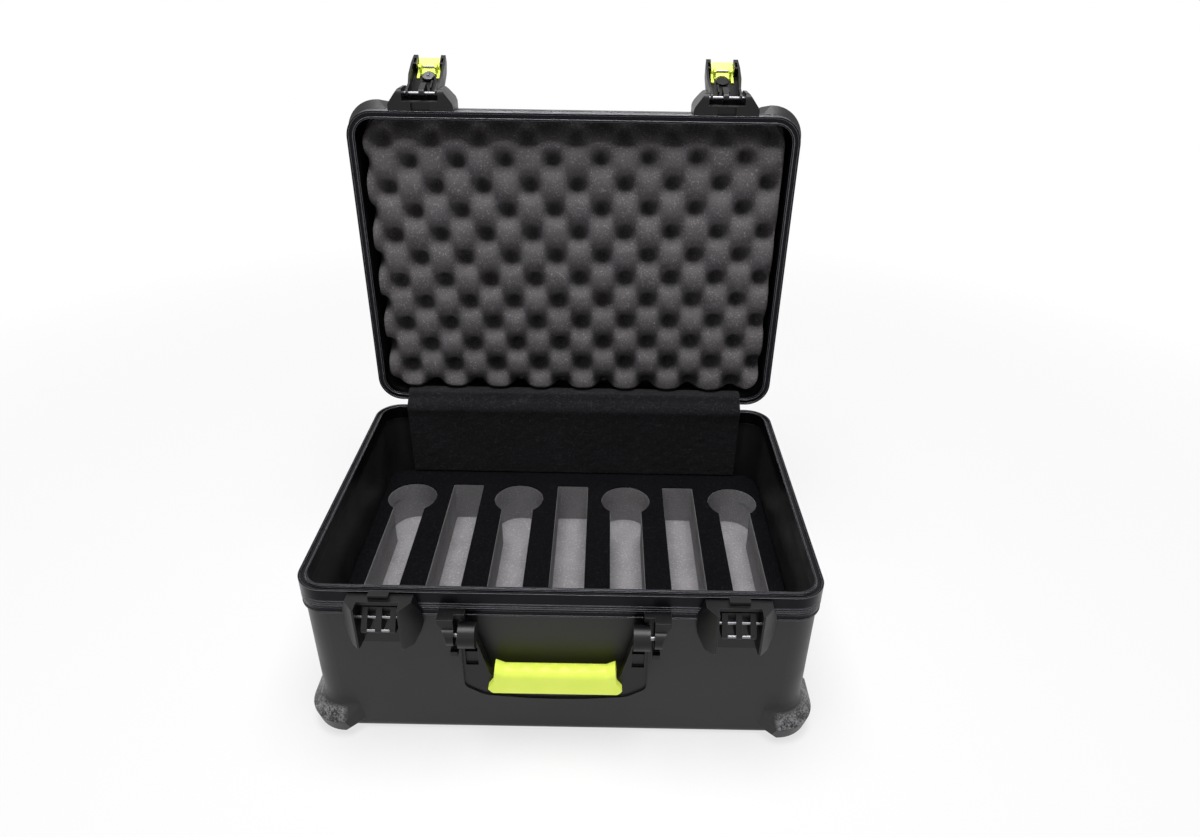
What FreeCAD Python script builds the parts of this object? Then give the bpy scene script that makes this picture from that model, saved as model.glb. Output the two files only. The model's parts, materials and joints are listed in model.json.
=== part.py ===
import FreeCAD, Part

import math
import os

from FreeCAD import Placement, Rotation, Vector

# A hard transport case, open: a base tub and a lid tub, each with a metal rim, hinged at the rear.
# Two draw latches, a drop handle, a pocketed foam insert and egg-crate foam in the lid.
# Millimetres. X right, Y back, Z up. The origin is the middle of the base's underside.
# "out" is the distance in front of the rim's front face, "up" the height above the parting plane,
# both with the case shut. Lid pieces are modelled shut, and open_lid turns them to the open stop.

# Whole case
case_width = 520.0
case_depth = 368.0
base_height = 197.0
lid_height = 55.0
rim_corner_radius = 30.0
parting_gap = 0.2
lid_open_angle = 90.8
touch = 0.01
overrun = 5.0
fit_clearance = 0.05
foam_clearance = 0.3

# Shells
shell_setback = 3.0
shell_wall = 3.0
shell_edge_radius = 9.0

# Corner feet and lid bumpers
foot_reach = 11.4
foot_ridge_height = 23.5
foot_height = 38.5
foot_root_radius = 8.0
bumper_reach = 7.5
bumper_ridge_height = 21.0
bumper_height = 30.0
bumper_root_radius = 4.0
foot_edge_radius = 1.2
foot_under_in = 4.0
foot_under_height = 7.3
foot_base_in = 10.8
foot_under_radius = 5.0
foot_root_margin = 5.0
foot_root_depth = 10.0
foot_run = 40.0
foot_front_wall = (17.0, 37.0)
foot_front_outer = (4.5, 13.0, 20.0)
foot_front_low = (20.0, 15.0)
foot_under_outer = (0, 6.0, 3.0)
foot_under_base = (7.6, -4.6, 0)
foot_side_wall = (35.0, 37.0)
foot_side_outer = (30.0, 13.0, 20.0)
foot_side_low = (36.0, 15.0)
bumper_end_wall = (14.0, 29.0)
bumper_end_outer = (3.0, 10.0, 20.0)
bumper_end_low = (18.0, 14.0)

# Rim section
rim_flange_width = 8.8
rim_flange_thickness = 4.0
rim_leg_thickness = 3.0
rim_inner_leg_thickness = 2.8
base_rim_leg = 29.0
lid_rim_leg = 20.0
base_rim_inner_leg = 16.0
lid_rim_inner_leg = 12.0
rim_groove_inset = 2.0
rim_groove_width = 4.6
rim_groove_depth = 1.6
rim_lip_width = 1.4
rim_lip_height = 1.0
rim_lip_clearance = 0.4
rim_line_heights = (9.5, 12.0, 15.0)
rim_line_width = 1.0
rim_line_depth = 0.5
rim_bead_height = 1.4
rim_recess_top = 7.0
rim_recess_depth = 0.8

# Rear hinges
hinge_end_gap = 115.0
hinge_width = 60.0
hinge_axis_back = 4.4
hinge_axis_up = 2.3
hinge_barrel_radius = 3.4
hinge_pin_radius = 1.7
hinge_pin_head_radius = 2.8
hinge_pin_head = 1.2
hinge_leaf_thickness = 1.6
hinge_leaf_edge = 4.3
hinge_web_gap = 0.5
hinge_knuckles = 5
hinge_knuckle_gap = 0.3
base_leaf_depth = 26.0
lid_leaf_top = 20.0
stop_reach = 18.4
stop_gap = 0.3
stop_width = 3.0
stop_root = 16.0
stop_nose = 3.0
rivet_radius = 2.0
rivet_head_radius = 3.5
rivet_head = 1.2
rivet_spacing = 20.0
base_rivet_drop = 20.0
lid_rivet_rise = 16.0

# Latch: bracket on the lid
latch_end_gap = 87.5
latch_ear_gap = 41.0
bracket_half_width = 37.0
bracket_plate = 4.0
bracket_top = 46.0
bracket_shoulder = 36.0
bracket_crown_half_width = 31.0
bracket_bottom = 0.5
bracket_ear_reach = 24.0
bracket_ear_land = 4.0
bracket_ear_side_out = 7.5
bracket_ear_curve = 8.0
bracket_ear_top = 34.0
bracket_ear_radius = 7.0
bracket_ear_crown_radius = 14.0
bracket_block_reach = 10.5
bracket_block_top = 9.0
bracket_notch_half_width = 11.0
bracket_notch_reach = 9.0
bracket_notch_top = 5.0
bracket_bridge_reach = 12.5
bracket_bridge_low = 39.0
bracket_bridge_radius = 2.0
latch_pin_out = 17.0
latch_pin_up = 17.0
latch_pin_radius = 2.0
latch_pin_half_length = 25.5

# Latch: lever
lever_open_angle = 153.0
lever_half_width = 20.0
lever_root_half_width = 17.8
lever_root_up = 4.0
lever_wide_up = (-16.0, -38.0)
lever_tip_half_width = 18.8
lever_wall = 2.6
lever_flank = 2.5
lever_face_top = (22.6, 19.0)
lever_face_middle = (29.9, -18.0)
lever_face_tip = (23.66, -53.5)
lever_inner_out = 14.5
lever_neck_up = 6.0
lever_barrel_radius = 5.5
lever_lug_half_width = 3.0
lever_block_top = -36.0
lever_block_inner = 13.4
lever_pocket = (14.6, 17.2)
lever_pocket_up = (-47.5, -38.5)
lever_pocket_out = 24.5
lever_window_top = -30.0
lever_rib_place = 6.0
lever_rib_half_thickness = 0.8
lever_rib_height = 3.5
lever_rib_top = -2.0
lever_rib_bottom = -18.0
lock_up = -26.6
lock_boss_radius = 7.3
lock_boss_inner = 24.5
lock_boss_outer = 30.3
lock_plug_radius = 5.2
lock_disc_radius = 6.9
lock_disc_thickness = 1.1
lock_disc_gap = 0.1
lock_cam_thickness = 1.4
lock_cam_half_width = 1.6
lock_cam_length = 6.4

# Latch: release trigger
trigger_half_width = 13.1
trigger_top = -31.5
trigger_bottom = -54.5
trigger_thickness = 4.0
trigger_notch_radius = 7.7
trigger_notch_drop = 1.9
trigger_leg_inner = 10.0
trigger_leg_top = -24.0
trigger_leg_gap = 0.4
trigger_leg_thickness = 1.6
trigger_lip_up = -51.2
trigger_lip_reach = 2.2
trigger_pin_out = 22.0
trigger_pin_up = -41.5
trigger_pin_radius = 1.2
trigger_pin_half_length = 16.5
trigger_boss_radius = 2.5
claw_inner = 7.9
claw_outer = 10.5
claw_back = 15.5
claw_face = 17.8
claw_tip_up = -31.5
claw_tip_width = 1.4
claw_seat_up = -33.4
claw_foot_up = -37.0
claw_root_up = -44.5

# Latch: strike on the base
strike_half_width_share = 0.84
strike_half_width = 38.0
strike_low_half_width = 27.0
strike_corner_radius = 8.0
strike_plate = 4.0
strike_top = -2.7
strike_wide_up = (-20.0, -42.0)
strike_bottom = -62.0
strike_cheek_reach = 23.0
strike_cheek_land = 2.0
strike_cheek_top = -0.6
strike_cheek_bottom = -53.0
strike_cheek_foot = -58.0
strike_shelf_reach = 12.0
strike_shelf_bottom = -6.5
strike_tab_half_width = 9.9
strike_tab_reach = 8.5
strike_tab_top = 2.5
strike_tab_back = 1.0
strike_bar_out = 19.9
strike_bar_up = -31.0
strike_bar_radius = 1.6
strike_pin_out = 12.0
strike_pin_up = -21.0
strike_pin_radius = 1.6
strike_pin_half_length = 22.0
keeper_arm_inner = 10.9
keeper_arm_outer = 16.4
keeper_rib_half_width = 2.9
keeper_wall_reach = 8.0
keeper_wall_top = -12.0
keeper_wall_bottom = -24.0
keeper_arm_bottom = -37.0
keeper_nose_radius = 2.0

# Handle
handle_centre_x = -4.5
handle_pin_out = 13.5
handle_pin_up = -41.5
handle_pin_radius = 2.2
handle_pin_inner = 82.0
handle_pin_outer = 102.0
handle_bracket_inner = 97.0
handle_bracket_outer = 113.0
handle_bracket_waist = 104.3
handle_bracket_waist_up = (-25.0, -38.0)
handle_bracket_top = -19.5
handle_bracket_bottom = -75.0
handle_bracket_curve = 6.0
handle_bracket_reach = 17.0
handle_boss_radius = 10.5
handle_foot_out = 9.5
handle_foot_top = -69.0
handle_leg_up = -52.0
handle_leg_out = 4.0
handle_hood_inner = 87.0
handle_hood_reach = 9.0
handle_hood_bottom = -25.0
handle_hood_clearance = 1.2
bail_half_width = 92.8
bail_arm_inner = 76.5
bail_arm_waist = -50.0
bail_back = 3.0
bail_front = 15.0
bail_barrel_radius = 12.8
bail_corner_up = -110.5
bail_corner_low = (73.0, -123.8)
bail_sweep = (30.0, -127.6)
bail_bottom = -128.3
bail_corner_radius = 9.0
bail_low_radius = 25.0
bail_sweep_radius = 80.0
bail_bar_top = -97.0
bail_bar_half_width = 65.0
bail_edge_radius = 0.4
bail_lip_width = 1.4
bail_lip_height = 1.8
bail_window_middle = 82.3
bail_window_half_width = 6.3
bail_window_top = -58.0
bail_window_step = -66.5
bail_window_bottom = -82.0
bail_window_depth = 8.0
bail_window_step_depth = 4.5
grip_half_width = 61.5
grip_back = 1.0
grip_front = 20.0
grip_section_top = -85.0
grip_top = -85.6
grip_wave = 1.1
grip_waves = 5
grip_wave_pitch = 19.0
grip_horn = (59.8, -80.5)
grip_horn_width = 9.0
grip_flare = 68.0
grip_flare_up = -108.0
grip_flare_radius = 3.5
grip_waist_up = -98.5
grip_low_half_width = 59.5
grip_bottom = -120.0
grip_section_radius = 9.4

# Screws from inside the walls
screw_radius = 2.0
screw_head_radius = 4.0
screw_head = 1.6
screw_bite = 5.0
bracket_screw_x = 30.0
bracket_screw_up = 32.0
strike_screw_x = 28.0
strike_screw_up = -47.0
handle_screw_x = 101.0
handle_screw_up = -61.5

# Foam insert
foam_side_gap = 2.0
foam_top_height = 96.0
foam_skin_thickness = 1.5
foam_upper_thickness = 19.0
pocket_floor_height = 40.0
pocket_count = 7
pocket_end_gap = 47.0
pocket_width = 41.0
pocket_end = 143.5
pocket_head_radius = 32.0
pocket_head_back = 111.5

# Lid foam
lid_foam_side_gap = 14.0
lid_foam_rear_gap = 16.0
lid_foam_front_gap = 9.6
lid_foam_corner_radius = 25.0
lid_foam_face_up = 9.0
pit_rows = 10
pit_row_pitch = 29.5
pit_first_row = 47.2
pit_pitch = 57.0
pit_first_inset = 24.8
pit_columns = 9
pit_mouth_radius = 18.5
pit_depth = 17.0

# Hinge fabric
fabric_side_gap = 38.0
fabric_thickness = 1.8
fabric_clearance = 0.8

# Places worked out from the sizes
front_face = -case_depth / 2
rear_face = case_depth / 2
hinge_y = rear_face + hinge_axis_back
hinge_z = base_height + hinge_axis_up
half_case = case_width / 2
latch_places = (latch_end_gap - half_case, half_case - latch_end_gap)
hinge_places = (hinge_end_gap - half_case, half_case - hinge_end_gap)
pocket_pitch = 2 * (half_case - pocket_end_gap) / (pocket_count - 1)
lid_foam_half_width = half_case - lid_foam_side_gap
pit_first_x = pit_first_inset - lid_foam_half_width
fabric_half_width = half_case - fabric_side_gap
ear_inner = latch_ear_gap / 2
leg_step = shell_setback
wall_inside = shell_setback + shell_wall
lid_top = base_height + parting_gap + lid_height


def rounded_wire(points, place):
    """Closed outline through (a, b, corner radius) points, put in space by place(a, b)."""
    count = len(points)
    starts = []
    ends = []
    middles = []
    for index in range(count):
        a, b, radius = points[index]
        before = points[index - 1]
        after = points[(index + 1) % count]
        corner = Vector(a, b, 0)
        inward = (corner - Vector(before[0], before[1], 0)).normalize()
        onward = (Vector(after[0], after[1], 0) - corner).normalize()
        turn = inward.getAngle(onward)
        if radius == 0 or turn < touch:
            starts.append(corner)
            ends.append(corner)
            middles.append(None)
            continue
        run = radius * math.tan(turn / 2)
        bisector = (onward - inward).normalize()
        starts.append(corner - inward * run)
        ends.append(corner + onward * run)
        middles.append(corner + bisector * (radius / math.cos(turn / 2) - radius))
    edges = []
    for index in range(count):
        follower = (index + 1) % count
        if middles[index] is not None:
            arc = [place(p.x, p.y) for p in (starts[index], middles[index], ends[index])]
            edges.append(Part.Arc(*arc).toShape())
        leave = place(ends[index].x, ends[index].y)
        arrive = place(starts[follower].x, starts[follower].y)
        if (arrive - leave).Length > touch:
            edges.append(Part.makeLine(leave, arrive))
    return Part.Wire(Part.__sortEdges__(edges))


def prism(points, place, along):
    """Flat rounded outline pushed along a vector."""
    return Part.Face(rounded_wire(points, place)).extrude(along)


def side_slab(points, x_from, x_to):
    """Outline in (out, up, radius), as seen from the side, pushed from x_from to x_to."""
    def place(out, up):
        return Vector(x_from, front_face - out, base_height + up)
    return prism(points, place, Vector(x_to - x_from, 0, 0))


def front_slab(points, out_from, out_to):
    """Outline in (x, up, radius), as seen from the front, pushed from out_from to out_to."""
    def place(x, up):
        return Vector(x, front_face - out_from, base_height + up)
    return prism(points, place, Vector(0, out_from - out_to, 0))


def plan_slab(points, up_from, up_to):
    """Outline in (x, out, radius), as seen from above, pushed from up_from to up_to."""
    def place(x, out):
        return Vector(x, front_face - out, base_height + up_from)
    return prism(points, place, Vector(0, 0, up_to - up_from))


def rectangle(a_from, a_to, b_from, b_to, radius=0):
    """The four corners of a rectangle, for the slabs."""
    corners = ((a_from, b_from), (a_to, b_from), (a_to, b_to), (a_from, b_to))
    return [(a, b, radius) for a, b in corners]


def cross_bar(out, up, radius, x_from, x_to):
    """Round bar along X."""
    start = Vector(x_from, front_face - out, base_height + up)
    return Part.makeCylinder(radius, x_to - x_from, start, Vector(1, 0, 0))


def outward_bar(x, up, radius, out_from, out_to):
    """Round bar square to the front face."""
    start = Vector(x, front_face - out_from, base_height + up)
    return Part.makeCylinder(radius, out_to - out_from, start, Vector(0, -1, 0))


def both_sides(shape):
    """A shape and its mirror image across the middle plane of X."""
    return [shape, shape.mirror(Vector(0, 0, 0), Vector(1, 0, 0))]


def fused(shapes):
    """One solid from several that overlap or share faces."""
    result = shapes[0]
    for shape in shapes[1:]:
        result = result.fuse(shape)
    return result.removeSplitter()


def moved(shape, x):
    """Copy of a shape, shifted along X."""
    copy = shape.copy()
    copy.translate(Vector(x, 0, 0))
    return copy


def open_lid(shape):
    """Turn a lid piece from shut to the open stop."""
    copy = shape.copy()
    copy.rotate(Vector(0, hinge_y, hinge_z), Vector(1, 0, 0), -lid_open_angle)
    return copy


def open_lever(shape):
    """Turn a lever piece from latched to thrown open, with the lid still shut."""
    copy = shape.copy()
    centre = Vector(0, front_face - latch_pin_out, base_height + latch_pin_up)
    copy.rotate(centre, Vector(1, 0, 0), -lever_open_angle)
    return copy


def save(name, shape):
    """Write one sub-part."""
    shape.exportStep("parts/" + name + ".step")


# Tubs: modelled with the parting plane at Z = 0 and the floor below it

def plan_block(inset, z_from, z_to):
    """Upright block with the case's plan outline, drawn inwards by inset."""
    half_width = case_width / 2 - inset
    half_depth = case_depth / 2 - inset
    radius = rim_corner_radius - inset
    points = rectangle(-half_width, half_width, -half_depth, half_depth, radius)

    def place(a, b):
        return Vector(a, b, z_from)
    return prism(points, place, Vector(0, 0, z_to - z_from))


def plan_ring(inset_from, inset_to, z_from, z_to):
    """Upright ring between two insets of the case's plan outline."""
    inner = plan_block(inset_to, z_from - overrun, z_to + overrun)
    return plan_block(inset_from, z_from, z_to).cut(inner)


def floor_rounded(block, floor, radius):
    """Round the edges of a block's underside."""
    edges = [edge for edge in block.Edges if edge.BoundBox.ZMax < floor + touch]
    return block.makeFillet(radius, edges)


def corner_foot(reach, ridge, height, root_radius, front_ends, side_ends):
    """One moulded corner foot round its own corner's axis, standing on Z = 0."""
    outer = rim_corner_radius + reach
    wall = rim_corner_radius - shell_setback
    core = wall - foot_root_depth
    root = height + foot_root_margin
    profile = [
        (core, 0, 0),
        (outer - foot_base_in, 0, foot_edge_radius),
        (outer - foot_under_in, foot_under_height, foot_under_radius),
        (outer, ridge, foot_edge_radius),
        (wall, height, root_radius),
        (wall, root, 0),
        (core, root, 0),
    ]

    def place_front(radius, up):
        return Vector(0, -radius, up)

    def place_side(radius, up):
        return Vector(-radius, 0, up)
    front = Part.Face(rounded_wire(profile, place_front))
    side = Part.Face(rounded_wire(profile, place_side))
    turned = front.revolve(Vector(0, 0, 0), Vector(0, 0, 1), -90)
    front_run = front.extrude(Vector(foot_run, 0, 0))
    side_run = side.extrude(Vector(0, foot_run, 0))
    foot = fused([turned, front_run, side_run])
    for corners in front_ends:
        foot = foot.cut(end_cut(corners, wall, False))
    for corners in side_ends:
        foot = foot.cut(end_cut(corners, wall, True))
    return foot


def end_cut(corners, wall, on_side):
    """Block beyond a foot's sloping end, through three (along, out of the wall, height) points."""
    points = [Vector(along, -wall - out, height) for along, out, height in corners]
    slope = (points[1] - points[0]).cross(points[2] - points[0]).normalize()
    if slope.x < 0:
        slope = -slope
    if on_side:
        points = [Vector(point.y, point.x, point.z) for point in points]
        slope = Vector(slope.y, slope.x, slope.z)
    return half_space(points[0], slope)


def flush(place):
    """A point on the wall itself, from its (along, height)."""
    return place[0], 0, place[1]


def half_space(point, direction):
    """Large block whose face passes through a point, lying on the side a direction points to."""
    size = case_width
    block = Part.makeBox(size, size, size, Vector(-size / 2, -size / 2, 0))
    block.Placement = Placement(point, Rotation(Vector(0, 0, 1), direction))
    return block


def base_foot():
    """Foot of the base: short along the front, long along the side."""
    front = (flush(foot_front_wall), foot_front_outer, flush(foot_front_low))
    under = (foot_under_outer, flush(foot_front_low), foot_under_base)
    side = (flush(foot_side_wall), foot_side_outer, flush(foot_side_low))
    return corner_foot(foot_reach, foot_ridge_height, foot_height, foot_root_radius,
                       (front, under), (side,))


def lid_bumper():
    """Corner bumper of the lid, lower and slimmer than a foot."""
    end = (flush(bumper_end_wall), bumper_end_outer, flush(bumper_end_low))
    return corner_foot(bumper_reach, bumper_ridge_height, bumper_height, bumper_root_radius,
                       (end,), (end,))


def four_corners(piece, floor):
    """A corner piece at the four corners of one tub."""
    across = case_width / 2 - rim_corner_radius
    along = case_depth / 2 - rim_corner_radius
    piece.translate(Vector(-across, -along, floor))
    front_pair = [piece, piece.mirror(Vector(0, 0, 0), Vector(1, 0, 0))]
    rear_pair = [shape.mirror(Vector(0, 0, 0), Vector(0, 1, 0)) for shape in front_pair]
    return front_pair + rear_pair


def tub(height, corner):
    """Moulded tub with corner pieces: open at the top, its wall tucked under the rim's flange."""
    top = -rim_flange_thickness
    block = floor_rounded(plan_block(shell_setback, -height, top), -height, shell_edge_radius)
    shell = fused([block] + four_corners(corner, -height))
    hollow = plan_block(wall_inside, shell_wall - height, overrun)
    hollow = floor_rounded(hollow, shell_wall - height, shell_edge_radius - shell_wall)
    return shell.cut(hollow)


def rim(leg, inner_leg):
    """Rim extrusion: flange over the tub's edge, an outer leg with fine lines, an inner leg."""
    flange = plan_ring(0, rim_flange_width, -rim_flange_thickness, 0)
    outer_leg = plan_ring(0, rim_leg_thickness, -leg, -rim_flange_thickness)
    inner_edge = rim_flange_width - rim_inner_leg_thickness
    inner = plan_ring(inner_edge, rim_flange_width, -inner_leg, -rim_flange_thickness)
    body = fused([flange, outer_leg, inner])
    groove_end = rim_groove_inset + rim_groove_width
    body = body.cut(plan_ring(rim_groove_inset, groove_end, -rim_groove_depth, overrun))
    for height in rim_line_heights:
        line = plan_ring(-overrun, rim_line_depth, height - leg, height - leg + rim_line_width)
        body = body.cut(line)
    recess = plan_ring(-overrun, rim_recess_depth, rim_bead_height - leg, rim_recess_top - leg)
    return body.cut(recess)


def base_rim():
    """Rim of the base, with the raised inner lip."""
    lip = plan_ring(rim_flange_width - rim_lip_width, rim_flange_width,
                    -rim_flange_thickness / 2, rim_lip_height)
    whole = fused([rim(base_rim_leg, base_rim_inner_leg), lip])
    whole.translate(Vector(0, 0, base_height))
    return whole


def to_lid(shape):
    """Flip a tub-side shape over, onto the parting plane, as the lid's side."""
    flipped = shape.mirror(Vector(0, 0, 0), Vector(0, 0, 1))
    flipped.translate(Vector(0, 0, base_height + parting_gap))
    return flipped


def lid_rim():
    """Rim of the lid, with room for the base's lip."""
    room = plan_ring(rim_flange_width - rim_lip_width - rim_lip_clearance,
                     rim_flange_width + overrun,
                     -rim_lip_height - rim_lip_clearance, overrun)
    return to_lid(rim(lid_rim_leg, lid_rim_inner_leg).cut(room))


# Rear hinges: modelled round X = 0, then set at each place

def rear_rod(x, z, radius, y_from, y_to):
    """Round bar along Y."""
    return Part.makeCylinder(radius, y_to - y_from, Vector(x, y_from, z), Vector(0, 1, 0))


def rear_slab(points, x_from, x_to):
    """Outline in (behind the axis, above the axis, radius), pushed along X."""
    def place(back, up):
        return Vector(x_from, hinge_y + back, hinge_z + up)
    return prism(points, place, Vector(x_to - x_from, 0, 0))


def knuckle_spans(first):
    """X spans of every second knuckle of one leaf."""
    length = hinge_width / hinge_knuckles
    spans = []
    for index in range(first, hinge_knuckles, 2):
        start = index * length - hinge_width / 2
        low = start + (hinge_knuckle_gap / 2 if index > 0 else 0)
        high = start + length - (hinge_knuckle_gap / 2 if index < hinge_knuckles - 1 else 0)
        spans.append((low, high))
    return spans


def hinge_leaf(first, plate_far, rivet_height, side):
    """Leaf on the rim's rear face, with its knuckles. side is -1 for the base, 1 for the lid."""
    face = -hinge_axis_back
    outer = face + hinge_leaf_thickness
    half = hinge_width / 2
    near = side * hinge_leaf_edge
    plate = rear_slab(rectangle(face, outer, min(near, plate_far), max(near, plate_far)), -half, half)
    pieces = [plate]
    for low, high in knuckle_spans(first):
        start = Vector(low, hinge_y, hinge_z)
        pieces.append(Part.makeCylinder(hinge_barrel_radius, high - low, start, Vector(1, 0, 0)))
        web = rectangle(face + hinge_web_gap, outer, min(near, 0), max(near, 0))
        pieces.append(rear_slab(web, low, high))
    leaf = fused(pieces)
    for x in (-rivet_spacing, 0, rivet_spacing):
        hole = rear_rod(x, rivet_height, rivet_radius + fit_clearance, rear_face - overrun,
                        rear_face + overrun)
        leaf = leaf.cut(hole)
    return leaf


def pin_bore():
    """Bore for the hinge pin."""
    start = Vector(-hinge_width, hinge_y, hinge_z)
    return Part.makeCylinder(hinge_pin_radius + fit_clearance, 2 * hinge_width, start, Vector(1, 0, 0))


def base_leaf():
    """Fixed leaf with the two stops that hold the lid upright."""
    leaf = hinge_leaf(0, -base_leaf_depth - hinge_axis_up, base_height - base_rivet_drop, -1)
    near = hinge_leaf_thickness - hinge_axis_back
    far = near + stop_reach
    top = -near - stop_gap
    outline = [(near - touch, -stop_root, 0), (near, -stop_root, 0), (far, -stop_nose, 0),
               (far, top, 0), (0, top, 0), (near - touch, -hinge_leaf_edge, 0)]
    half = hinge_width / 2
    stops = both_sides(rear_slab(outline, half - stop_width, half))
    return fused([leaf] + stops).cut(pin_bore())


def lid_leaf():
    """Moving leaf, drawn with the lid shut."""
    far = parting_gap + lid_leaf_top - hinge_axis_up
    height = base_height + parting_gap + lid_rivet_rise
    return hinge_leaf(1, far, height, 1).cut(pin_bore())


def hinge_pin():
    """Hinge pin with a small head at each end."""
    half = hinge_width / 2
    shaft = Part.makeCylinder(hinge_pin_radius, 2 * half, Vector(-half, hinge_y, hinge_z), Vector(1, 0, 0))
    head = Part.makeCylinder(hinge_pin_head_radius, hinge_pin_head, Vector(half, hinge_y, hinge_z),
                             Vector(1, 0, 0))
    return fused([shaft] + both_sides(head))


def hinge_rivet(x, z):
    """Rivet through leaf, rim and tub wall."""
    inside = rear_face - wall_inside
    outside = rear_face + hinge_leaf_thickness
    shank = rear_rod(x, z, rivet_radius, inside, outside)
    inner_head = rear_rod(x, z, rivet_head_radius, inside - rivet_head, inside)
    outer_head = rear_rod(x, z, rivet_head_radius, outside, outside + rivet_head)
    return fused([shank, inner_head, outer_head])


def hinge_rivet_places():
    """X of every hinge rivet."""
    offsets = (-rivet_spacing, 0, rivet_spacing)
    return [place + offset for place in hinge_places for offset in offsets]


def rivet_holes(z):
    """Holes through the rim's rear leg and the tub wall."""
    radius = rivet_radius + fit_clearance
    return [rear_rod(x, z, radius, rear_face - wall_inside - overrun, rear_face + overrun)
            for x in hinge_rivet_places()]


# Screws that hold the front fittings, driven from inside

def screw(x, up):
    """Screw from the tub's inner face into a fitting."""
    inside = -wall_inside
    shank = outward_bar(x, up, screw_radius, inside, inside + screw_bite)
    head = outward_bar(x, up, screw_head_radius, inside - screw_head, inside)
    return fused([shank, head])


def screw_hole(x, up):
    """Clear hole for such a screw, in the wall and in the fitting."""
    inside = -wall_inside
    return outward_bar(x, up, screw_radius + fit_clearance, inside - overrun, inside + screw_bite)


def cut_all(shape, tools):
    """Take every tool out of a shape."""
    for tool in tools:
        shape = shape.cut(tool)
    return shape


# Latch pieces: modelled round X = 0, latched and shut

def latch_bracket():
    """Bracket on the lid: back plate, two tapered guard ears and a notched lower block."""
    step = lid_rim_leg + parting_gap
    plate = side_slab([(0, bracket_bottom, 0), (bracket_plate, bracket_bottom, 0),
                       (bracket_plate, bracket_top, 0), (-leg_step, bracket_top, 0),
                       (-leg_step, step, 0), (0, step, 0)],
                      -bracket_half_width, bracket_half_width)
    ear_side = side_slab([(0, bracket_bottom, 0),
                          (bracket_ear_reach, bracket_bottom, bracket_ear_radius),
                          (bracket_ear_reach, bracket_ear_top, bracket_ear_crown_radius),
                          (bracket_plate, bracket_top, 0), (0, bracket_top, 0)],
                         ear_inner, bracket_half_width)
    ear_plan = plan_slab([(ear_inner, 0, 0), (bracket_half_width, 0, 0),
                          (bracket_half_width, bracket_ear_side_out, bracket_ear_curve),
                          (ear_inner + bracket_ear_land, bracket_ear_reach, bracket_ear_land),
                          (ear_inner, bracket_ear_reach, 0)], bracket_bottom, bracket_top)
    ear = ear_side.common(ear_plan)
    block = side_slab(rectangle(0, bracket_block_reach, bracket_bottom, bracket_block_top),
                      -ear_inner, ear_inner)
    outline = front_slab([(bracket_half_width, 0, 0), (bracket_half_width, bracket_shoulder, overrun),
                          (bracket_crown_half_width, bracket_top, overrun),
                          (-bracket_crown_half_width, bracket_top, overrun),
                          (-bracket_half_width, bracket_shoulder, overrun),
                          (-bracket_half_width, 0, 0)], -leg_step, bracket_ear_reach)
    bridge = side_slab([(0, bracket_bridge_low, 0), (bracket_bridge_reach, bracket_bridge_low, 0),
                        (bracket_bridge_reach, bracket_top, bracket_bridge_radius),
                        (0, bracket_top, 0)], -ear_inner - touch, ear_inner + touch)
    whole = fused([plate, block, bridge] + both_sides(ear)).common(outline)
    notch = side_slab(rectangle(-overrun, bracket_notch_reach, -overrun, bracket_notch_top),
                      -bracket_notch_half_width, bracket_notch_half_width)
    bore = cross_bar(latch_pin_out, latch_pin_up, latch_pin_radius + fit_clearance,
                     -latch_pin_half_length - touch, latch_pin_half_length + touch)
    holes = [screw_hole(x, bracket_screw_up) for x in (-bracket_screw_x, bracket_screw_x)]
    return cut_all(whole, [notch, bore] + holes)


def latch_pin():
    """Steel pin that the lever turns on."""
    return cross_bar(latch_pin_out, latch_pin_up, latch_pin_radius, -latch_pin_half_length,
                     latch_pin_half_length)


def lever_arc():
    """Centre and radius of the lever's outer face, from its three named points."""
    corners = [Vector(out, up, 0) for out, up in (lever_face_top, lever_face_middle, lever_face_tip)]
    circle = Part.Circle(*corners)
    return circle.Center.x, circle.Center.y, circle.Radius


def face_drum(depth, half_width):
    """Drum whose surface lies at a depth under the lever's outer face."""
    out, up, radius = lever_arc()
    return cross_bar(out, up, radius - depth, -half_width, half_width)


def lever_lug(x_from, x_to):
    """One knuckle of the lever on the pin, with its neck."""
    low = lever_neck_up - lever_barrel_radius
    neck = side_slab([(lever_inner_out, low, 0), (lever_face_middle[0], low, 0),
                      (latch_pin_out + lever_barrel_radius, latch_pin_up, 0),
                      (latch_pin_out - lever_barrel_radius, latch_pin_up, 0)], x_from, x_to)
    neck = neck.common(face_drum(0, lever_half_width))
    barrel = cross_bar(latch_pin_out, latch_pin_up, lever_barrel_radius, x_from, x_to)
    return neck.fuse(barrel)


def lever_outline(inset, up_from, up_to, out_to):
    """The lever's outline from the front, narrower at its root and tip, drawn in by inset."""
    wide_top, wide_low = lever_wide_up
    root = lever_root_half_width - inset
    right = [(lever_tip_half_width - inset, up_from, 0), (lever_half_width - inset, wide_low, overrun),
             (lever_half_width - inset, wide_top, overrun), (root, lever_root_up, 0), (root, up_to, 0)]
    left = [(-x, up, radius) for x, up, radius in reversed(right)]
    return front_slab(right + left, 0, out_to)


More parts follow.
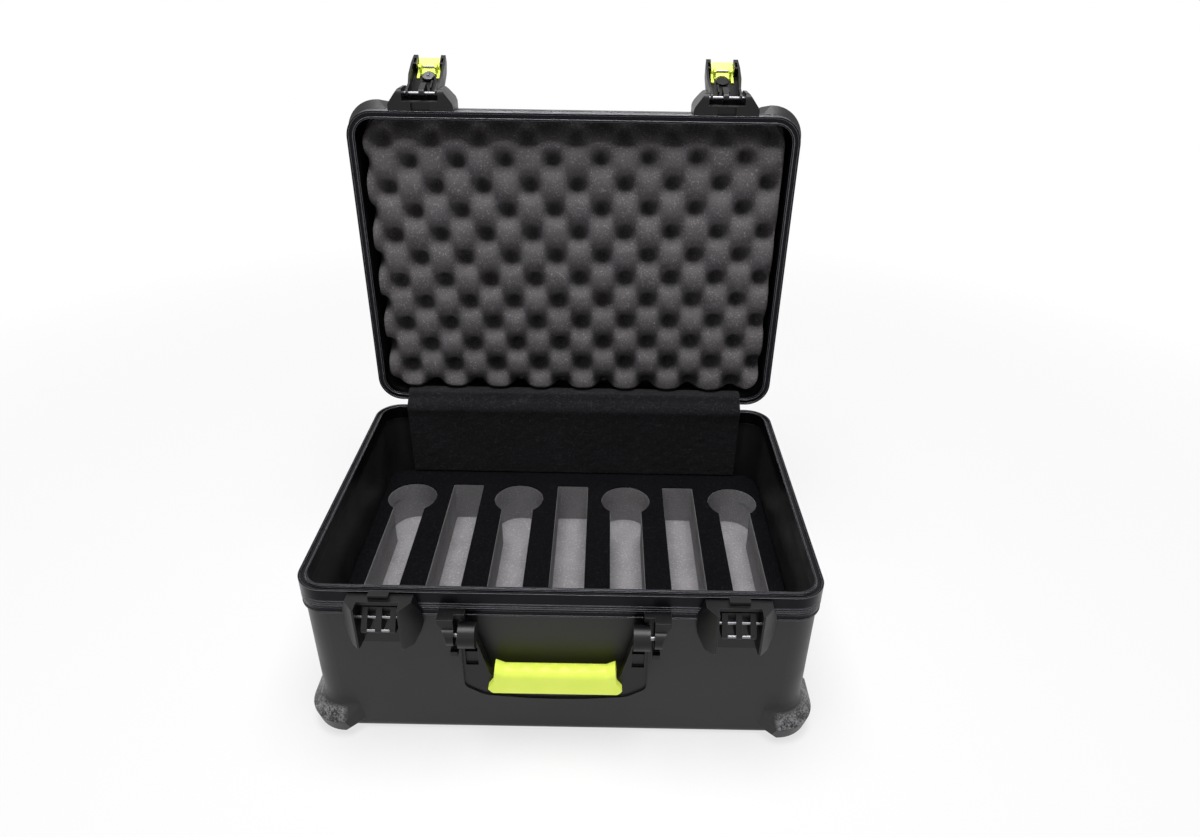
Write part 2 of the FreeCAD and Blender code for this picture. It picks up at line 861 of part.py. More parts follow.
def latch_lever(with_lock):
    """Hollow lever: bowed face, flanks, tip blocks round the trigger, knuckles, ribs, lock boss."""
    flank_inner = lever_root_half_width - lever_flank
    far = lever_face_middle[0] + overrun
    tip = lever_face_tip[1]
    drum = face_drum(0, lever_half_width)
    inner_drum = face_drum(lever_wall, lever_half_width)
    block = side_slab(rectangle(lever_inner_out, far, tip, lever_neck_up),
                      -lever_half_width, lever_half_width).common(drum)
    block = block.common(lever_outline(0, tip, lever_neck_up, far))
    room = lever_outline(lever_flank, tip, lever_neck_up + overrun, far).common(inner_drum)
    room = room.common(side_slab(rectangle(0, far, lever_block_top, lever_neck_up + overrun),
                                 -lever_half_width, lever_half_width))
    tip_room = side_slab(rectangle(0, far, tip - overrun, lever_block_top + touch),
                         -lever_block_inner, lever_block_inner)
    window = side_slab(rectangle(0, far, tip - overrun, lever_window_top),
                       -lever_block_inner, lever_block_inner)
    body = cut_all(block, [room, tip_room, window])
    lugs = both_sides(lever_lug(flank_inner, lever_root_half_width))
    lugs.append(lever_lug(-lever_lug_half_width, lever_lug_half_width))
    rib_low = lever_rib_place - lever_rib_half_thickness
    rib_high = lever_rib_place + lever_rib_half_thickness
    rib = side_slab(rectangle(0, far, lever_rib_bottom, lever_rib_top), rib_low, rib_high)
    rib_band = face_drum(lever_wall - touch, far).cut(face_drum(lever_wall + lever_rib_height, far))
    ribs = both_sides(rib.common(rib_band))
    boss = outward_bar(0, lock_up, lock_boss_radius, lock_boss_inner, lock_boss_outer)
    whole = fused([body] + lugs + ribs + [boss])
    pin_hole = cross_bar(latch_pin_out, latch_pin_up, latch_pin_radius + fit_clearance,
                         -lever_half_width - overrun, lever_half_width + overrun)
    reach = trigger_pin_half_length + fit_clearance
    trigger_hole = cross_bar(trigger_pin_out, trigger_pin_up, trigger_pin_radius + fit_clearance,
                             -reach, reach)
    holes = [pin_hole, trigger_hole]
    pocket_low, pocket_high = lever_pocket_up
    holes += both_sides(side_slab(rectangle(0, lever_pocket_out, pocket_low, pocket_high),
                                  *lever_pocket))
    if with_lock:
        holes.append(outward_bar(0, lock_up, lock_plug_radius + fit_clearance,
                                 lock_boss_inner - overrun, lock_boss_outer + overrun))
    return cut_all(whole, holes)


def lock_plug():
    """Key plug: round body, wider inner disc and a short cam that points to the lever's tip."""
    body = outward_bar(0, lock_up, lock_plug_radius, lock_boss_inner - lock_disc_gap - touch,
                       lock_boss_outer)
    disc_outer = lock_boss_inner - lock_disc_gap
    disc_inner = disc_outer - lock_disc_thickness
    disc = outward_bar(0, lock_up, lock_disc_radius, disc_inner, disc_outer)
    cam_outline = rectangle(-lock_cam_half_width, lock_cam_half_width, lock_up - lock_cam_length,
                            lock_up + lock_cam_half_width, lock_cam_half_width / 2)
    cam = front_slab(cam_outline, disc_inner - lock_cam_thickness, disc_inner + touch)
    return fused([body, disc, cam])


def trigger():
    """Release trigger: curved plate, two legs, pivot bosses and two hooks."""
    far = lever_face_middle[0] + overrun
    plate = side_slab(rectangle(0, far, trigger_bottom, trigger_top),
                      -trigger_half_width, trigger_half_width)
    shell = face_drum(0, trigger_half_width).cut(face_drum(trigger_thickness, far))
    plate = plate.common(shell)
    lip = side_slab(rectangle(0, far, trigger_bottom, trigger_lip_up), -trigger_half_width,
                    trigger_half_width)
    lip_band = face_drum(-trigger_lip_reach, trigger_half_width).cut(face_drum(trigger_thickness, far))
    lip = lip.common(lip_band)
    leg_top_depth = lever_wall + trigger_leg_gap
    leg_band = face_drum(leg_top_depth, far).cut(face_drum(leg_top_depth + trigger_leg_thickness, far))
    leg = side_slab(rectangle(0, far, trigger_top - trigger_leg_gap, trigger_leg_top),
                    trigger_leg_inner, trigger_half_width).common(leg_band)
    boss = cross_bar(trigger_pin_out, trigger_pin_up, trigger_boss_radius, claw_inner,
                     trigger_half_width)
    cheek_low = trigger_pin_up - trigger_boss_radius
    cheek_high = trigger_pin_up + trigger_boss_radius
    cheek = side_slab(rectangle(trigger_pin_out, far, cheek_low, cheek_high), claw_inner,
                      trigger_half_width).common(face_drum(trigger_thickness / 2, far))
    claw = side_slab([(far, claw_seat_up - touch, 0), (claw_face, claw_seat_up, 0),
                      (claw_face, claw_tip_up, 0), (claw_face - claw_tip_width, claw_tip_up, 0),
                      (claw_back, claw_tip_up - claw_tip_width, 0), (claw_back, claw_foot_up, 0),
                      (trigger_pin_out, claw_root_up, 0), (far, claw_root_up, 0)],
                     claw_inner, claw_outer).common(face_drum(trigger_thickness / 2, far))
    halves = []
    for piece in (leg, boss, cheek, claw):
        halves += both_sides(piece)
    whole = fused([plate, lip] + halves)
    notches = [outward_bar(0, lock_up, trigger_notch_radius, 0, far),
               outward_bar(0, lock_up - trigger_notch_drop, trigger_notch_radius, 0, far)]
    bore = cross_bar(trigger_pin_out, trigger_pin_up, trigger_pin_radius + fit_clearance,
                     -lever_half_width, lever_half_width)
    return cut_all(whole, notches + [bore])


def trigger_pin():
    """Pin that the trigger turns on, held in the lever's tip blocks."""
    return cross_bar(trigger_pin_out, trigger_pin_up, trigger_pin_radius, -trigger_pin_half_length,
                     trigger_pin_half_length)


def strike():
    """Strike on the base: shield-shaped plate, two tapered cheeks, top shelf and centring tab."""
    top_half = strike_half_width * strike_half_width_share
    wide_top, wide_low = strike_wide_up
    shield = [(-top_half, strike_top, 0), (top_half, strike_top, 0),
              (strike_half_width, wide_top, strike_corner_radius),
              (strike_half_width, wide_low, strike_corner_radius),
              (strike_low_half_width, strike_bottom, strike_corner_radius),
              (-strike_low_half_width, strike_bottom, strike_corner_radius),
              (-strike_half_width, wide_low, strike_corner_radius),
              (-strike_half_width, wide_top, strike_corner_radius)]
    step = -base_rim_leg - foam_clearance
    thickness = side_slab([(0, strike_top, 0), (strike_plate, strike_top, 0),
                           (strike_plate, strike_bottom, 0), (-leg_step, strike_bottom, 0),
                           (-leg_step, step, 0), (0, step, 0)],
                          -strike_half_width, strike_half_width)
    plate = front_slab(shield, -leg_step, strike_plate).common(thickness)
    cheek_side = side_slab([(0, strike_top, 0), (strike_plate, strike_cheek_top, 0),
                            (strike_cheek_reach, strike_cheek_top, strike_cheek_land),
                            (strike_cheek_reach, strike_cheek_bottom, strike_cheek_land),
                            (0, strike_cheek_foot, 0)], ear_inner, strike_half_width)
    cheek_plan = plan_slab([(ear_inner, 0, 0), (strike_half_width, 0, 0),
                            (strike_half_width, strike_plate, 0),
                            (ear_inner + strike_cheek_land, strike_cheek_reach, 0),
                            (ear_inner, strike_cheek_reach, 0)], strike_bottom, 0)
    cheek = cheek_side.common(cheek_plan).common(front_slab(shield, 0, strike_cheek_reach))
    shelf = side_slab(rectangle(0, strike_shelf_reach, strike_shelf_bottom, strike_top), -ear_inner,
                      ear_inner)
    tab = side_slab(rectangle(strike_tab_back, strike_tab_reach, strike_shelf_bottom, strike_tab_top),
                    -strike_tab_half_width, strike_tab_half_width)
    whole = fused([plate, shelf, tab] + both_sides(cheek))
    reach = strike_pin_half_length + fit_clearance
    bore = cross_bar(strike_pin_out, strike_pin_up, strike_pin_radius + fit_clearance, -reach, reach)
    holes = [screw_hole(x, strike_screw_up) for x in (-strike_screw_x, strike_screw_x)]
    return cut_all(whole, [bore] + holes)


def strike_keeper():
    """Keeper between the cheeks: cross wall, two arms and a middle rib that carry the bar."""
    wall_back = strike_plate
    wall = side_slab(rectangle(wall_back, keeper_wall_reach, keeper_wall_bottom, keeper_wall_top),
                     -keeper_arm_outer, keeper_arm_outer)
    nose_out = strike_bar_out + keeper_nose_radius
    outline = [(wall_back, keeper_wall_top, 0), (keeper_wall_reach, keeper_wall_top, 0),
               (nose_out, strike_bar_up + keeper_nose_radius, keeper_nose_radius),
               (nose_out, strike_bar_up - keeper_nose_radius, keeper_nose_radius),
               (keeper_wall_reach, keeper_arm_bottom, 0), (wall_back, keeper_arm_bottom, 0)]
    arm = side_slab(outline, keeper_arm_inner, keeper_arm_outer)
    rib = side_slab(outline, -keeper_rib_half_width, keeper_rib_half_width)
    whole = fused([wall, rib] + both_sides(arm))
    bar_bore = cross_bar(strike_bar_out, strike_bar_up, strike_bar_radius + fit_clearance,
                         -lever_half_width, lever_half_width)
    pin_bore_tool = cross_bar(strike_pin_out, strike_pin_up, strike_pin_radius + fit_clearance,
                              -lever_half_width, lever_half_width)
    return cut_all(whole, [bar_bore, pin_bore_tool])


def strike_bar():
    """Steel bar that the trigger's hooks catch."""
    return cross_bar(strike_bar_out, strike_bar_up, strike_bar_radius, -keeper_arm_outer,
                     keeper_arm_outer)


def strike_pin():
    """Steel pin that holds the keeper between the cheeks."""
    return cross_bar(strike_pin_out, strike_pin_up, strike_pin_radius, -strike_pin_half_length,
                     strike_pin_half_length)


# Handle pieces: modelled round X = 0, hanging, then shifted to the handle's middle

def handle_bracket():
    """Right-hand handle bracket: wall leg, round pivot boss, foot and a hood over the arm's end."""
    top = handle_bracket_top
    low = handle_bracket_bottom
    inner = handle_bracket_inner
    step = -base_rim_leg - foam_clearance
    waist_top, waist_low = handle_bracket_waist_up
    reach = handle_bracket_reach
    side = side_slab([(0, top, 0), (reach, top, bail_edge_radius), (reach, handle_pin_up, 0),
                      (handle_leg_out, handle_leg_up, 0), (handle_leg_out, handle_foot_top, 0),
                      (handle_foot_out, handle_foot_top, bail_edge_radius),
                      (handle_foot_out, low, bail_edge_radius), (-leg_step, low, 0),
                      (-leg_step, step, 0), (0, step, 0)], inner, handle_bracket_outer)
    boss = cross_bar(handle_pin_out, handle_pin_up, handle_boss_radius, inner, handle_bracket_outer)
    outline = front_slab([(inner, top, 0), (handle_bracket_outer, top, 0),
                          (handle_bracket_outer, waist_top, handle_bracket_curve),
                          (handle_bracket_waist, waist_low, handle_bracket_curve),
                          (handle_bracket_waist, low, bail_edge_radius), (inner, low, 0)],
                         -leg_step, handle_pin_out + handle_boss_radius)
    hood = side_slab([(0, top, 0), (handle_hood_reach, top, bail_edge_radius),
                      (handle_hood_reach, handle_hood_bottom, 0), (0, handle_hood_bottom, 0)],
                     handle_hood_inner, inner + touch)
    hood = hood.cut(cross_bar(handle_pin_out, handle_pin_up,
                              bail_barrel_radius + handle_hood_clearance, 0, inner + overrun))
    whole = fused([fused([side, boss]).common(outline), hood])
    bore = cross_bar(handle_pin_out, handle_pin_up, handle_pin_radius + fit_clearance,
                     handle_hood_inner, handle_pin_outer + fit_clearance)
    return cut_all(whole, [bore, screw_hole(handle_screw_x, handle_screw_up)])


def handle_pin():
    """Right-hand handle pin, set in the bracket and turning in the arm."""
    return cross_bar(handle_pin_out, handle_pin_up, handle_pin_radius, handle_pin_inner,
                     handle_pin_outer)


def bail_outline(inset):
    """Right half of the handle's outline, from the middle of the bottom, drawn in by inset."""
    low_x, low_up = bail_corner_low
    sweep_x, sweep_up = bail_sweep
    return [(0, bail_bottom + inset, 0), (sweep_x, sweep_up + inset, bail_sweep_radius),
            (low_x - inset / 2, low_up + inset, bail_low_radius),
            (bail_half_width - inset, bail_corner_up, bail_corner_radius)]


def mirrored_outline(right):
    """A right half outline followed by its mirror image, the middle points once."""
    left = [(-x, up, radius) for x, up, radius in reversed(right) if x > 0]
    return right + left


def handle_bail():
    """U-shaped handle: two arms with round ends, a cross bar and a raised lip along the outside."""
    top = handle_pin_up
    right = bail_outline(0) + [(bail_half_width, top, 0), (bail_arm_inner, top, 0),
                               (bail_arm_inner, bail_arm_waist, overrun),
                               (bail_bar_half_width, bail_bar_top, overrun)]
    frame = front_slab(mirrored_outline(right), bail_back, bail_front)
    outer_face = front_face - bail_front
    rim_edges = [edge for edge in frame.Edges if edge.BoundBox.YMax < outer_face + touch]
    frame = frame.makeFillet(bail_edge_radius, rim_edges)
    sunk = bail_outline(bail_lip_width) + [(bail_half_width - bail_lip_width, 0, 0)]
    frame = frame.cut(front_slab(mirrored_outline(sunk), bail_front - bail_lip_height,
                                 bail_front + overrun))
    barrel = cross_bar(handle_pin_out, handle_pin_up, bail_barrel_radius, bail_arm_inner,
                       bail_half_width)
    whole = fused([frame] + both_sides(barrel))
    near = bail_window_middle - bail_window_half_width
    far = bail_window_middle + bail_window_half_width
    tall = rectangle(near, far, bail_window_step, bail_window_top)
    low = rectangle(near, far, bail_window_bottom, bail_window_step + touch)
    windows = both_sides(front_slab(tall, bail_front - bail_window_depth, bail_front + overrun))
    windows += both_sides(front_slab(low, bail_front - bail_window_step_depth, bail_front + overrun))
    bore = cross_bar(handle_pin_out, handle_pin_up, handle_pin_radius + fit_clearance,
                     handle_pin_inner, bail_half_width + overrun)
    return cut_all(whole, windows + both_sides(bore))


def handle_grip():
    """Soft grip round the handle's cross bar, with horned ends and finger waves along the top."""
    horn_x, horn_up = grip_horn
    right = [(horn_x, horn_up, 0), (grip_half_width, grip_waist_up, overrun),
             (grip_flare, grip_flare_up, grip_flare_radius),
             (grip_low_half_width, grip_bottom, grip_flare_radius)]
    left = [(-x, up, radius) for x, up, radius in reversed(right)]
    waves = []
    for index in range(2 * grip_waves + 1):
        x = (index - grip_waves) * grip_wave_pitch / 2
        waves.append((x, grip_top + grip_wave * (-1) ** index, overrun))
    horn_foot = horn_x - grip_horn_width
    waves[0] = (-horn_foot, waves[0][1], overrun)
    waves[-1] = (horn_foot, waves[-1][1], overrun)
    face = front_slab(right + left + waves, grip_back, grip_front)
    tall = horn_up + touch
    stations = [(-grip_flare, tall), (-horn_x, tall), (-horn_foot, grip_section_top),
                (horn_foot, grip_section_top), (horn_x, tall), (grip_flare, tall)]
    body = Part.makeLoft([grip_section(x, top) for x, top in stations], True, True)
    return face.common(body)


def grip_section(x, top):
    """Outline of the grip's rounded section at x, as high as top."""
    def place(out, up):
        return Vector(x, front_face - out, base_height + up)
    return rounded_wire(rectangle(grip_back, grip_front, grip_bottom, top, grip_section_radius),
                        place)


# Foam pieces

def foam_layer(z_from, z_to):
    """Slab of foam with the tub's inner outline, less the side gap."""
    block = plan_block(wall_inside + foam_side_gap, z_from, z_to)
    return block


def pocket(x, head_back, z_from, z_to):
    """One pocket: a long slot with a round head at one end."""
    half = pocket_width / 2

    def place(a, b):
        return Vector(a, b, z_from)
    slot = prism(rectangle(x - half, x + half, -pocket_end, pocket_end), place,
                 Vector(0, 0, z_to - z_from))
    head = Part.makeCylinder(pocket_head_radius, z_to - z_from, Vector(x, head_back, z_from))
    return fused([slot, head])


def pockets(z_from, z_to):
    """All pockets, their heads at the rear and at the front in turn."""
    middle = (pocket_count - 1) / 2
    result = []
    for index in range(pocket_count):
        head = pocket_head_back if index % 2 == 0 else -pocket_head_back
        result.append(pocket((index - middle) * pocket_pitch, head, z_from, z_to))
    return result


def foam_pieces():
    """Top skin, upper layer, lower layer and the uncut pad under them."""
    skin_under = foam_top_height - foam_skin_thickness
    upper_under = skin_under - foam_upper_thickness
    cuts = pockets(pocket_floor_height - overrun, foam_top_height + overrun)
    layers = {
        "foam_top_skin": (skin_under, foam_top_height),
        "foam_upper_layer": (upper_under, skin_under),
        "foam_lower_layer": (pocket_floor_height, upper_under),
    }
    pieces = {name: cut_all(foam_layer(low, high), cuts) for name, (low, high) in layers.items()}
    pad = foam_layer(shell_wall, pocket_floor_height)
    edge = shell_edge_radius - shell_wall - foam_side_gap
    pieces["foam_base_pad"] = floor_rounded(pad, shell_wall, edge)
    return pieces


def lid_foam():
    """Egg-crate foam in the lid, drawn with the lid shut: a slab with staggered round pits."""
    face = base_height + parting_gap + lid_foam_face_up
    back = lid_top - shell_wall
    y_front = front_face + lid_foam_front_gap
    y_rear = rear_face - lid_foam_rear_gap
    points = rectangle(-lid_foam_half_width, lid_foam_half_width, y_front, y_rear,
                       lid_foam_corner_radius)

    def place(a, b):
        return Vector(a, b, face)
    slab = prism(points, place, Vector(0, 0, back - face))
    edges = [edge for edge in slab.Edges if edge.BoundBox.ZMin > back - touch]
    slab = slab.makeFillet(shell_edge_radius, edges)
    ball_radius = (pit_mouth_radius ** 2 + pit_depth ** 2) / (2 * pit_depth)
    centre_z = face - (ball_radius - pit_depth)
    balls = []
    for row in range(pit_rows):
        y = rear_face - pit_first_row - row * pit_row_pitch
        shift = pit_pitch / 2 if row % 2 else 0
        for column in range(pit_columns):
            x = pit_first_x + shift + column * pit_pitch
            if abs(x) + pit_mouth_radius < lid_foam_half_width:
                balls.append(Part.makeSphere(ball_radius, Vector(x, y, centre_z)))
    return slab.cut(Part.makeCompound(balls))


def hinge_fabric():
    """Fleece strip over the hinge line, drawn with the lid open: from the lid foam to the insert."""
    lip_front = rear_face - rim_flange_width
    lid_lip_top = hinge_z + hinge_axis_back + rim_flange_width
    parting_back = hinge_y - hinge_axis_up + parting_gap
    foam_back = rear_face - wall_inside - foam_side_gap
    gap = fabric_clearance
    back = [
        (parting_back + 2 * rim_flange_width, lid_lip_top + gap),
        (parting_back, lid_lip_top + gap),
        (parting_back - 2 * gap, lid_lip_top - rim_flange_thickness),
        (parting_back - rim_flange_thickness, base_height + rim_flange_width),
        (lip_front + gap, base_height + rim_lip_height + 2 * gap),
        (lip_front - gap, base_height + rim_lip_height - gap),
        (lip_front - gap, base_height - base_rim_inner_leg),
        (foam_back - gap, (base_height + foam_top_height) / 2),
        (foam_back - gap, foam_top_height + gap),
    ]
    front = []
    for index, (y, z) in enumerate(back):
        before = back[max(index - 1, 0)]
        after = back[min(index + 1, len(back) - 1)]
        along = Vector(after[0] - before[0], after[1] - before[1], 0).normalize()
        front.append((y + along.y * fabric_thickness, z - along.x * fabric_thickness))
    outline = [(y, z, 0) for y, z in back + front[::-1]]

    def place(y, z):
        return Vector(-fabric_half_width, y, z)
    return prism(outline, place, Vector(2 * fabric_half_width, 0, 0))


def build_base():
    """Everything that stays with the base, apart from the latch strikes and the handle."""
    holes = rivet_holes(base_height - base_rivet_drop)
    strikes = [place + x for place in latch_places for x in (-strike_screw_x, strike_screw_x)]
    grips = [handle_centre_x - handle_screw_x, handle_centre_x + handle_screw_x]
    wall_holes = [screw_hole(x, strike_screw_up) for x in strikes]
    wall_holes += [screw_hole(x, handle_screw_up) for x in grips]
    shell = tub(base_height, base_foot())
    shell.translate(Vector(0, 0, base_height))
    save("base_shell", cut_all(shell, holes + wall_holes))
    save("base_rim", cut_all(base_rim(), holes))
    save("hinge_base_leaves", Part.makeCompound([moved(base_leaf(), x) for x in hinge_places]))
    save("hinge_pins", Part.makeCompound([moved(hinge_pin(), x) for x in hinge_places]))
    rivets = [hinge_rivet(x, base_height - base_rivet_drop) for x in hinge_rivet_places()]
    save("hinge_base_rivets", Part.makeCompound(rivets))
    screws = [screw(x, strike_screw_up) for x in strikes]
    save("strike_screws", Part.makeCompound(screws))
    save("handle_screws", Part.makeCompound([screw(x, handle_screw_up) for x in grips]))


def build_lid():
    """The lid's shell, rim, hinge leaves, fasteners and foam, all turned open."""
    holes = rivet_holes(base_height + parting_gap + lid_rivet_rise)
    places = [place + x for place in latch_places for x in (-bracket_screw_x, bracket_screw_x)]
    wall_holes = [screw_hole(x, bracket_screw_up) for x in places]
    shell = to_lid(tub(lid_height, lid_bumper()))
    save("lid_shell", open_lid(cut_all(shell, holes + wall_holes)))
    save("lid_rim", open_lid(cut_all(lid_rim(), holes)))
    leaves = [open_lid(moved(lid_leaf(), x)) for x in hinge_places]
    save("hinge_lid_leaves", Part.makeCompound(leaves))
    height = base_height + parting_gap + lid_rivet_rise
    rivets = [open_lid(hinge_rivet(x, height)) for x in hinge_rivet_places()]
    save("hinge_lid_rivets", Part.makeCompound(rivets))
    screws = [open_lid(screw(x, bracket_screw_up)) for x in places]
    save("bracket_screws", Part.makeCompound(screws))
    save("lid_foam", open_lid(lid_foam()))


def build_latches():
    """Both latches: bracket, lever, trigger and pins on the lid, strike on the base."""
    for side, x in zip(("left", "right"), latch_places):
        with_lock = side == "left"
        save("latch_bracket_" + side, open_lid(moved(latch_bracket(), x)))
        save("latch_lever_" + side, open_lid(moved(open_lever(latch_lever(with_lock)), x)))
        save("release_trigger_" + side, open_lid(moved(open_lever(trigger()), x)))
        save("trigger_pin_" + side, open_lid(moved(open_lever(trigger_pin()), x)))
        save("strike_" + side, moved(strike(), x))
        save("strike_keeper_" + side, moved(strike_keeper(), x))
    save("lock_plug", open_lid(moved(open_lever(lock_plug()), latch_places[0])))
    pins = [open_lid(moved(latch_pin(), x)) for x in latch_places]
    save("latch_pins", Part.makeCompound(pins))
    save("strike_bars", Part.makeCompound([moved(strike_bar(), x) for x in latch_places]))
    save("strike_pins", Part.makeCompound([moved(strike_pin(), x) for x in latch_places]))


def build_handle():
    """Handle brackets, pins, bail and grip."""
    right, left = [moved(shape, handle_centre_x) for shape in both_sides(handle_bracket())]
    save("handle_bracket_right", right)
    save("handle_bracket_left", left)
    pins = [moved(shape, handle_centre_x) for shape in both_sides(handle_pin())]
    save("handle_pins", Part.makeCompound(pins))
    bail = handle_bail()
    save("handle_bail", moved(bail, handle_centre_x))
    save("handle_grip", moved(handle_grip().cut(bail), handle_centre_x))


def build_foam():
    """The foam insert and the fleece strip."""
    for name, shape in foam_pieces().items():
        save(name, shape)
    save("hinge_fabric", hinge_fabric())


def print_axes():
    """Print where each joint's axis lies in the open case, in millimetres."""
    pin = Part.Vertex(0, front_face - latch_pin_out, base_height + latch_pin_up)
    hook = Part.Vertex(0, front_face - trigger_pin_out, base_height + trigger_pin_up)
    lock = Part.Vertex(latch_places[0], front_face - lock_boss_inner, base_height + lock_up)
    lock_tip = Part.Vertex(latch_places[0], front_face - lock_boss_outer, base_height + lock_up)
    print("lid hinge", 0, hinge_y, hinge_z)
    print("latch pin", open_lid(pin).Point)
    print("trigger pin", open_lid(open_lever(hook)).Point)
    print("lock plug", open_lid(open_lever(lock)).Point)
    print("lock plug outer end", open_lid(open_lever(lock_tip)).Point)
    print("handle pin", 0, front_face - handle_pin_out, base_height + handle_pin_up)


def main():
    """Write every sub-part to the parts folder."""
    os.makedirs("parts", exist_ok=True)
    build_base()
    build_lid()
    build_latches()
    build_handle()
    build_foam()
    print_axes()


main()
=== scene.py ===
import json
import math

import bmesh
import bpy
import numpy as np
from mathutils import Matrix, Vector


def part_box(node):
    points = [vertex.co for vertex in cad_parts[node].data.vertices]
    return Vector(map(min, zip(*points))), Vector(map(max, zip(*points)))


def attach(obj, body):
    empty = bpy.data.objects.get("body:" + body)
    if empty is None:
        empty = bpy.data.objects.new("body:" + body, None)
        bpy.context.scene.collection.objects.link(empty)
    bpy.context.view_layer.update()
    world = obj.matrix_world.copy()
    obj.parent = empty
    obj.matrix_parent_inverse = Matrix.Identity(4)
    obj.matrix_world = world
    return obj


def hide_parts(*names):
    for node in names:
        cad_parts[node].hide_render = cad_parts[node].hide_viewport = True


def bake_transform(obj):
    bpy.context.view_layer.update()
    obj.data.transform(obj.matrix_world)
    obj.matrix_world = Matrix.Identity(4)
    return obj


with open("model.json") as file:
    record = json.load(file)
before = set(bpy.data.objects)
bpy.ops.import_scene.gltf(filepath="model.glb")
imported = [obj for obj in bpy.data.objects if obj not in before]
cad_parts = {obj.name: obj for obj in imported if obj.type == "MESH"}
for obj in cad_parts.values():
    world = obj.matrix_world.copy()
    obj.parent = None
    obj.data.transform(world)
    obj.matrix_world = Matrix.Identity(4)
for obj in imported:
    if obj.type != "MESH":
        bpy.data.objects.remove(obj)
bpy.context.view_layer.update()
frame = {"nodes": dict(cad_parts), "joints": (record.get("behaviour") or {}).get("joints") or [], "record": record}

bl_info = {
    "name": "Carry Case Dressing",
    "version": (1, 0, 0),
    "blender": (4, 5, 0),
    "location": "View3D > Sidebar > Carry Case",
    "description": "Foam, fleece, grip, finishes and studio for an open hard carry case",
    "category": "Add Mesh",
}

NODES = frame["nodes"]
LID_HINGE = next(joint for joint in frame["joints"] if joint["name"] == "lid_hinge")
PARTING_UP = 0.1972
REAR_FACE = 0.184
DUST = (150, 148, 145)
NEON_DUST = (220, 220, 200)
SKIN_LOW, SKIN_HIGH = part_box("foam_top_skin")
UPPER_LOW, UPPER_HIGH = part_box("foam_upper_layer")
LOWER_LOW, LOWER_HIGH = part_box("foam_lower_layer")
PAD_LOW, PAD_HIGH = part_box("foam_base_pad")
LID_FOAM_LOW, LID_FOAM_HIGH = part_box("lid_foam")
FLEECE_LOW, FLEECE_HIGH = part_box("hinge_fabric")


def paint(red, green, blue):
    """A colour written as 0 to 255 screen values, turned into the linear values that shaders take."""
    screen = np.array([red, green, blue]) / 255
    linear = np.where(screen <= 0.04045, screen / 12.92, ((screen + 0.055) / 1.055) ** 2.4)
    return (*linear.tolist(), 1.0)


def length_property(name, description, default):
    return bpy.props.FloatProperty(name=name, description=description, default=default,
                                   unit="LENGTH", precision=4)


def colour_property(name, description, default):
    return bpy.props.FloatVectorProperty(name=name, description=description, default=default,
                                         subtype="COLOR", size=4, min=0, max=1)


class CaseColourSettings(bpy.types.PropertyGroup):
    shell: colour_property("Shell", "Satin moulded shells", paint(22, 22, 24))
    shell_worn: colour_property("Shell edges", "Shell where edges are rubbed", paint(92, 92, 96))
    rim: colour_property("Rim", "Anodised rim sections", paint(22, 21, 25))
    rim_worn: colour_property("Rim edges", "Bare metal along the rim's edges", paint(196, 196, 204))
    fitting: colour_property("Fittings", "Latches, strikes and handle", paint(10, 10, 12))
    fitting_worn: colour_property("Fitting edges", "Fittings at edges", paint(104, 104, 108))
    steel: colour_property("Steel", "Bright pins, bars and the key plug", paint(128, 128, 132))
    dark_steel: colour_property("Dark steel", "Blackened pins and hinges", paint(70, 70, 74))
    neon: colour_property("Neon", "Yellow-green grip and triggers", paint(236, 252, 98))
    neon_deep: colour_property("Neon in folds", "Neon where it is thick", paint(212, 238, 78))
    foam: colour_property("Foam", "Egg-crate foam in the lid", paint(106, 103, 105))
    foam_wall: colour_property("Cut foam", "Cut walls of the pockets", paint(142, 140, 142))
    felt: colour_property("Felt", "Black skin over the foam insert", paint(9, 9, 11))
    # Scuffs, and painted highlight where the feet's faces look up
    scuffs_and_highlight: colour_property("Scuffs", "Scratched tops of the feet", paint(150, 150, 152))
    fleece: colour_property("Fleece", "Fleece strip over the hinge line", paint(27, 27, 30))


class LidFoamSettings(bpy.types.PropertyGroup):
    half_width: length_property("Half width", "Half the foam's width", LID_FOAM_HIGH.x)
    front: length_property("Front", "Front end with the lid shut", -0.1744)
    rear: length_property("Rear", "Hinge end with the lid shut", 0.168)
    corner: length_property("Corner radius", "Corner radius of the outline", 0.025)
    face_up: length_property("Peak height", "Peaks above the parting plane", 0.009)
    back_up: length_property("Back height", "Back above the parting plane", 0.0515)
    pit_pitch: length_property("Pit pitch", "From one pit to the next along a row", 0.05697)
    row_pitch: length_property("Row pitch", "From one row of pits to the next", 0.02953)
    first_pit: length_property("First pit", "A pit of the first row, from the middle", -0.1642)
    first_row: length_property("First row", "First row's distance from the rear face", 0.0472)
    tilt: bpy.props.FloatProperty(name="Tilt", description="How far askew the rows run",
                                  default=0.027, unit="ROTATION")
    depth: length_property("Pit depth", "From the peaks to the bottom of a pit", 0.034)
    end_fall: length_property("End fall", "How far the face falls back at its front end", 0.03)
    end_roll: length_property("End roll", "How wide the falling end is", 0.018)
    step: length_property("Mesh step", "Distance between mesh points", 0.0022)


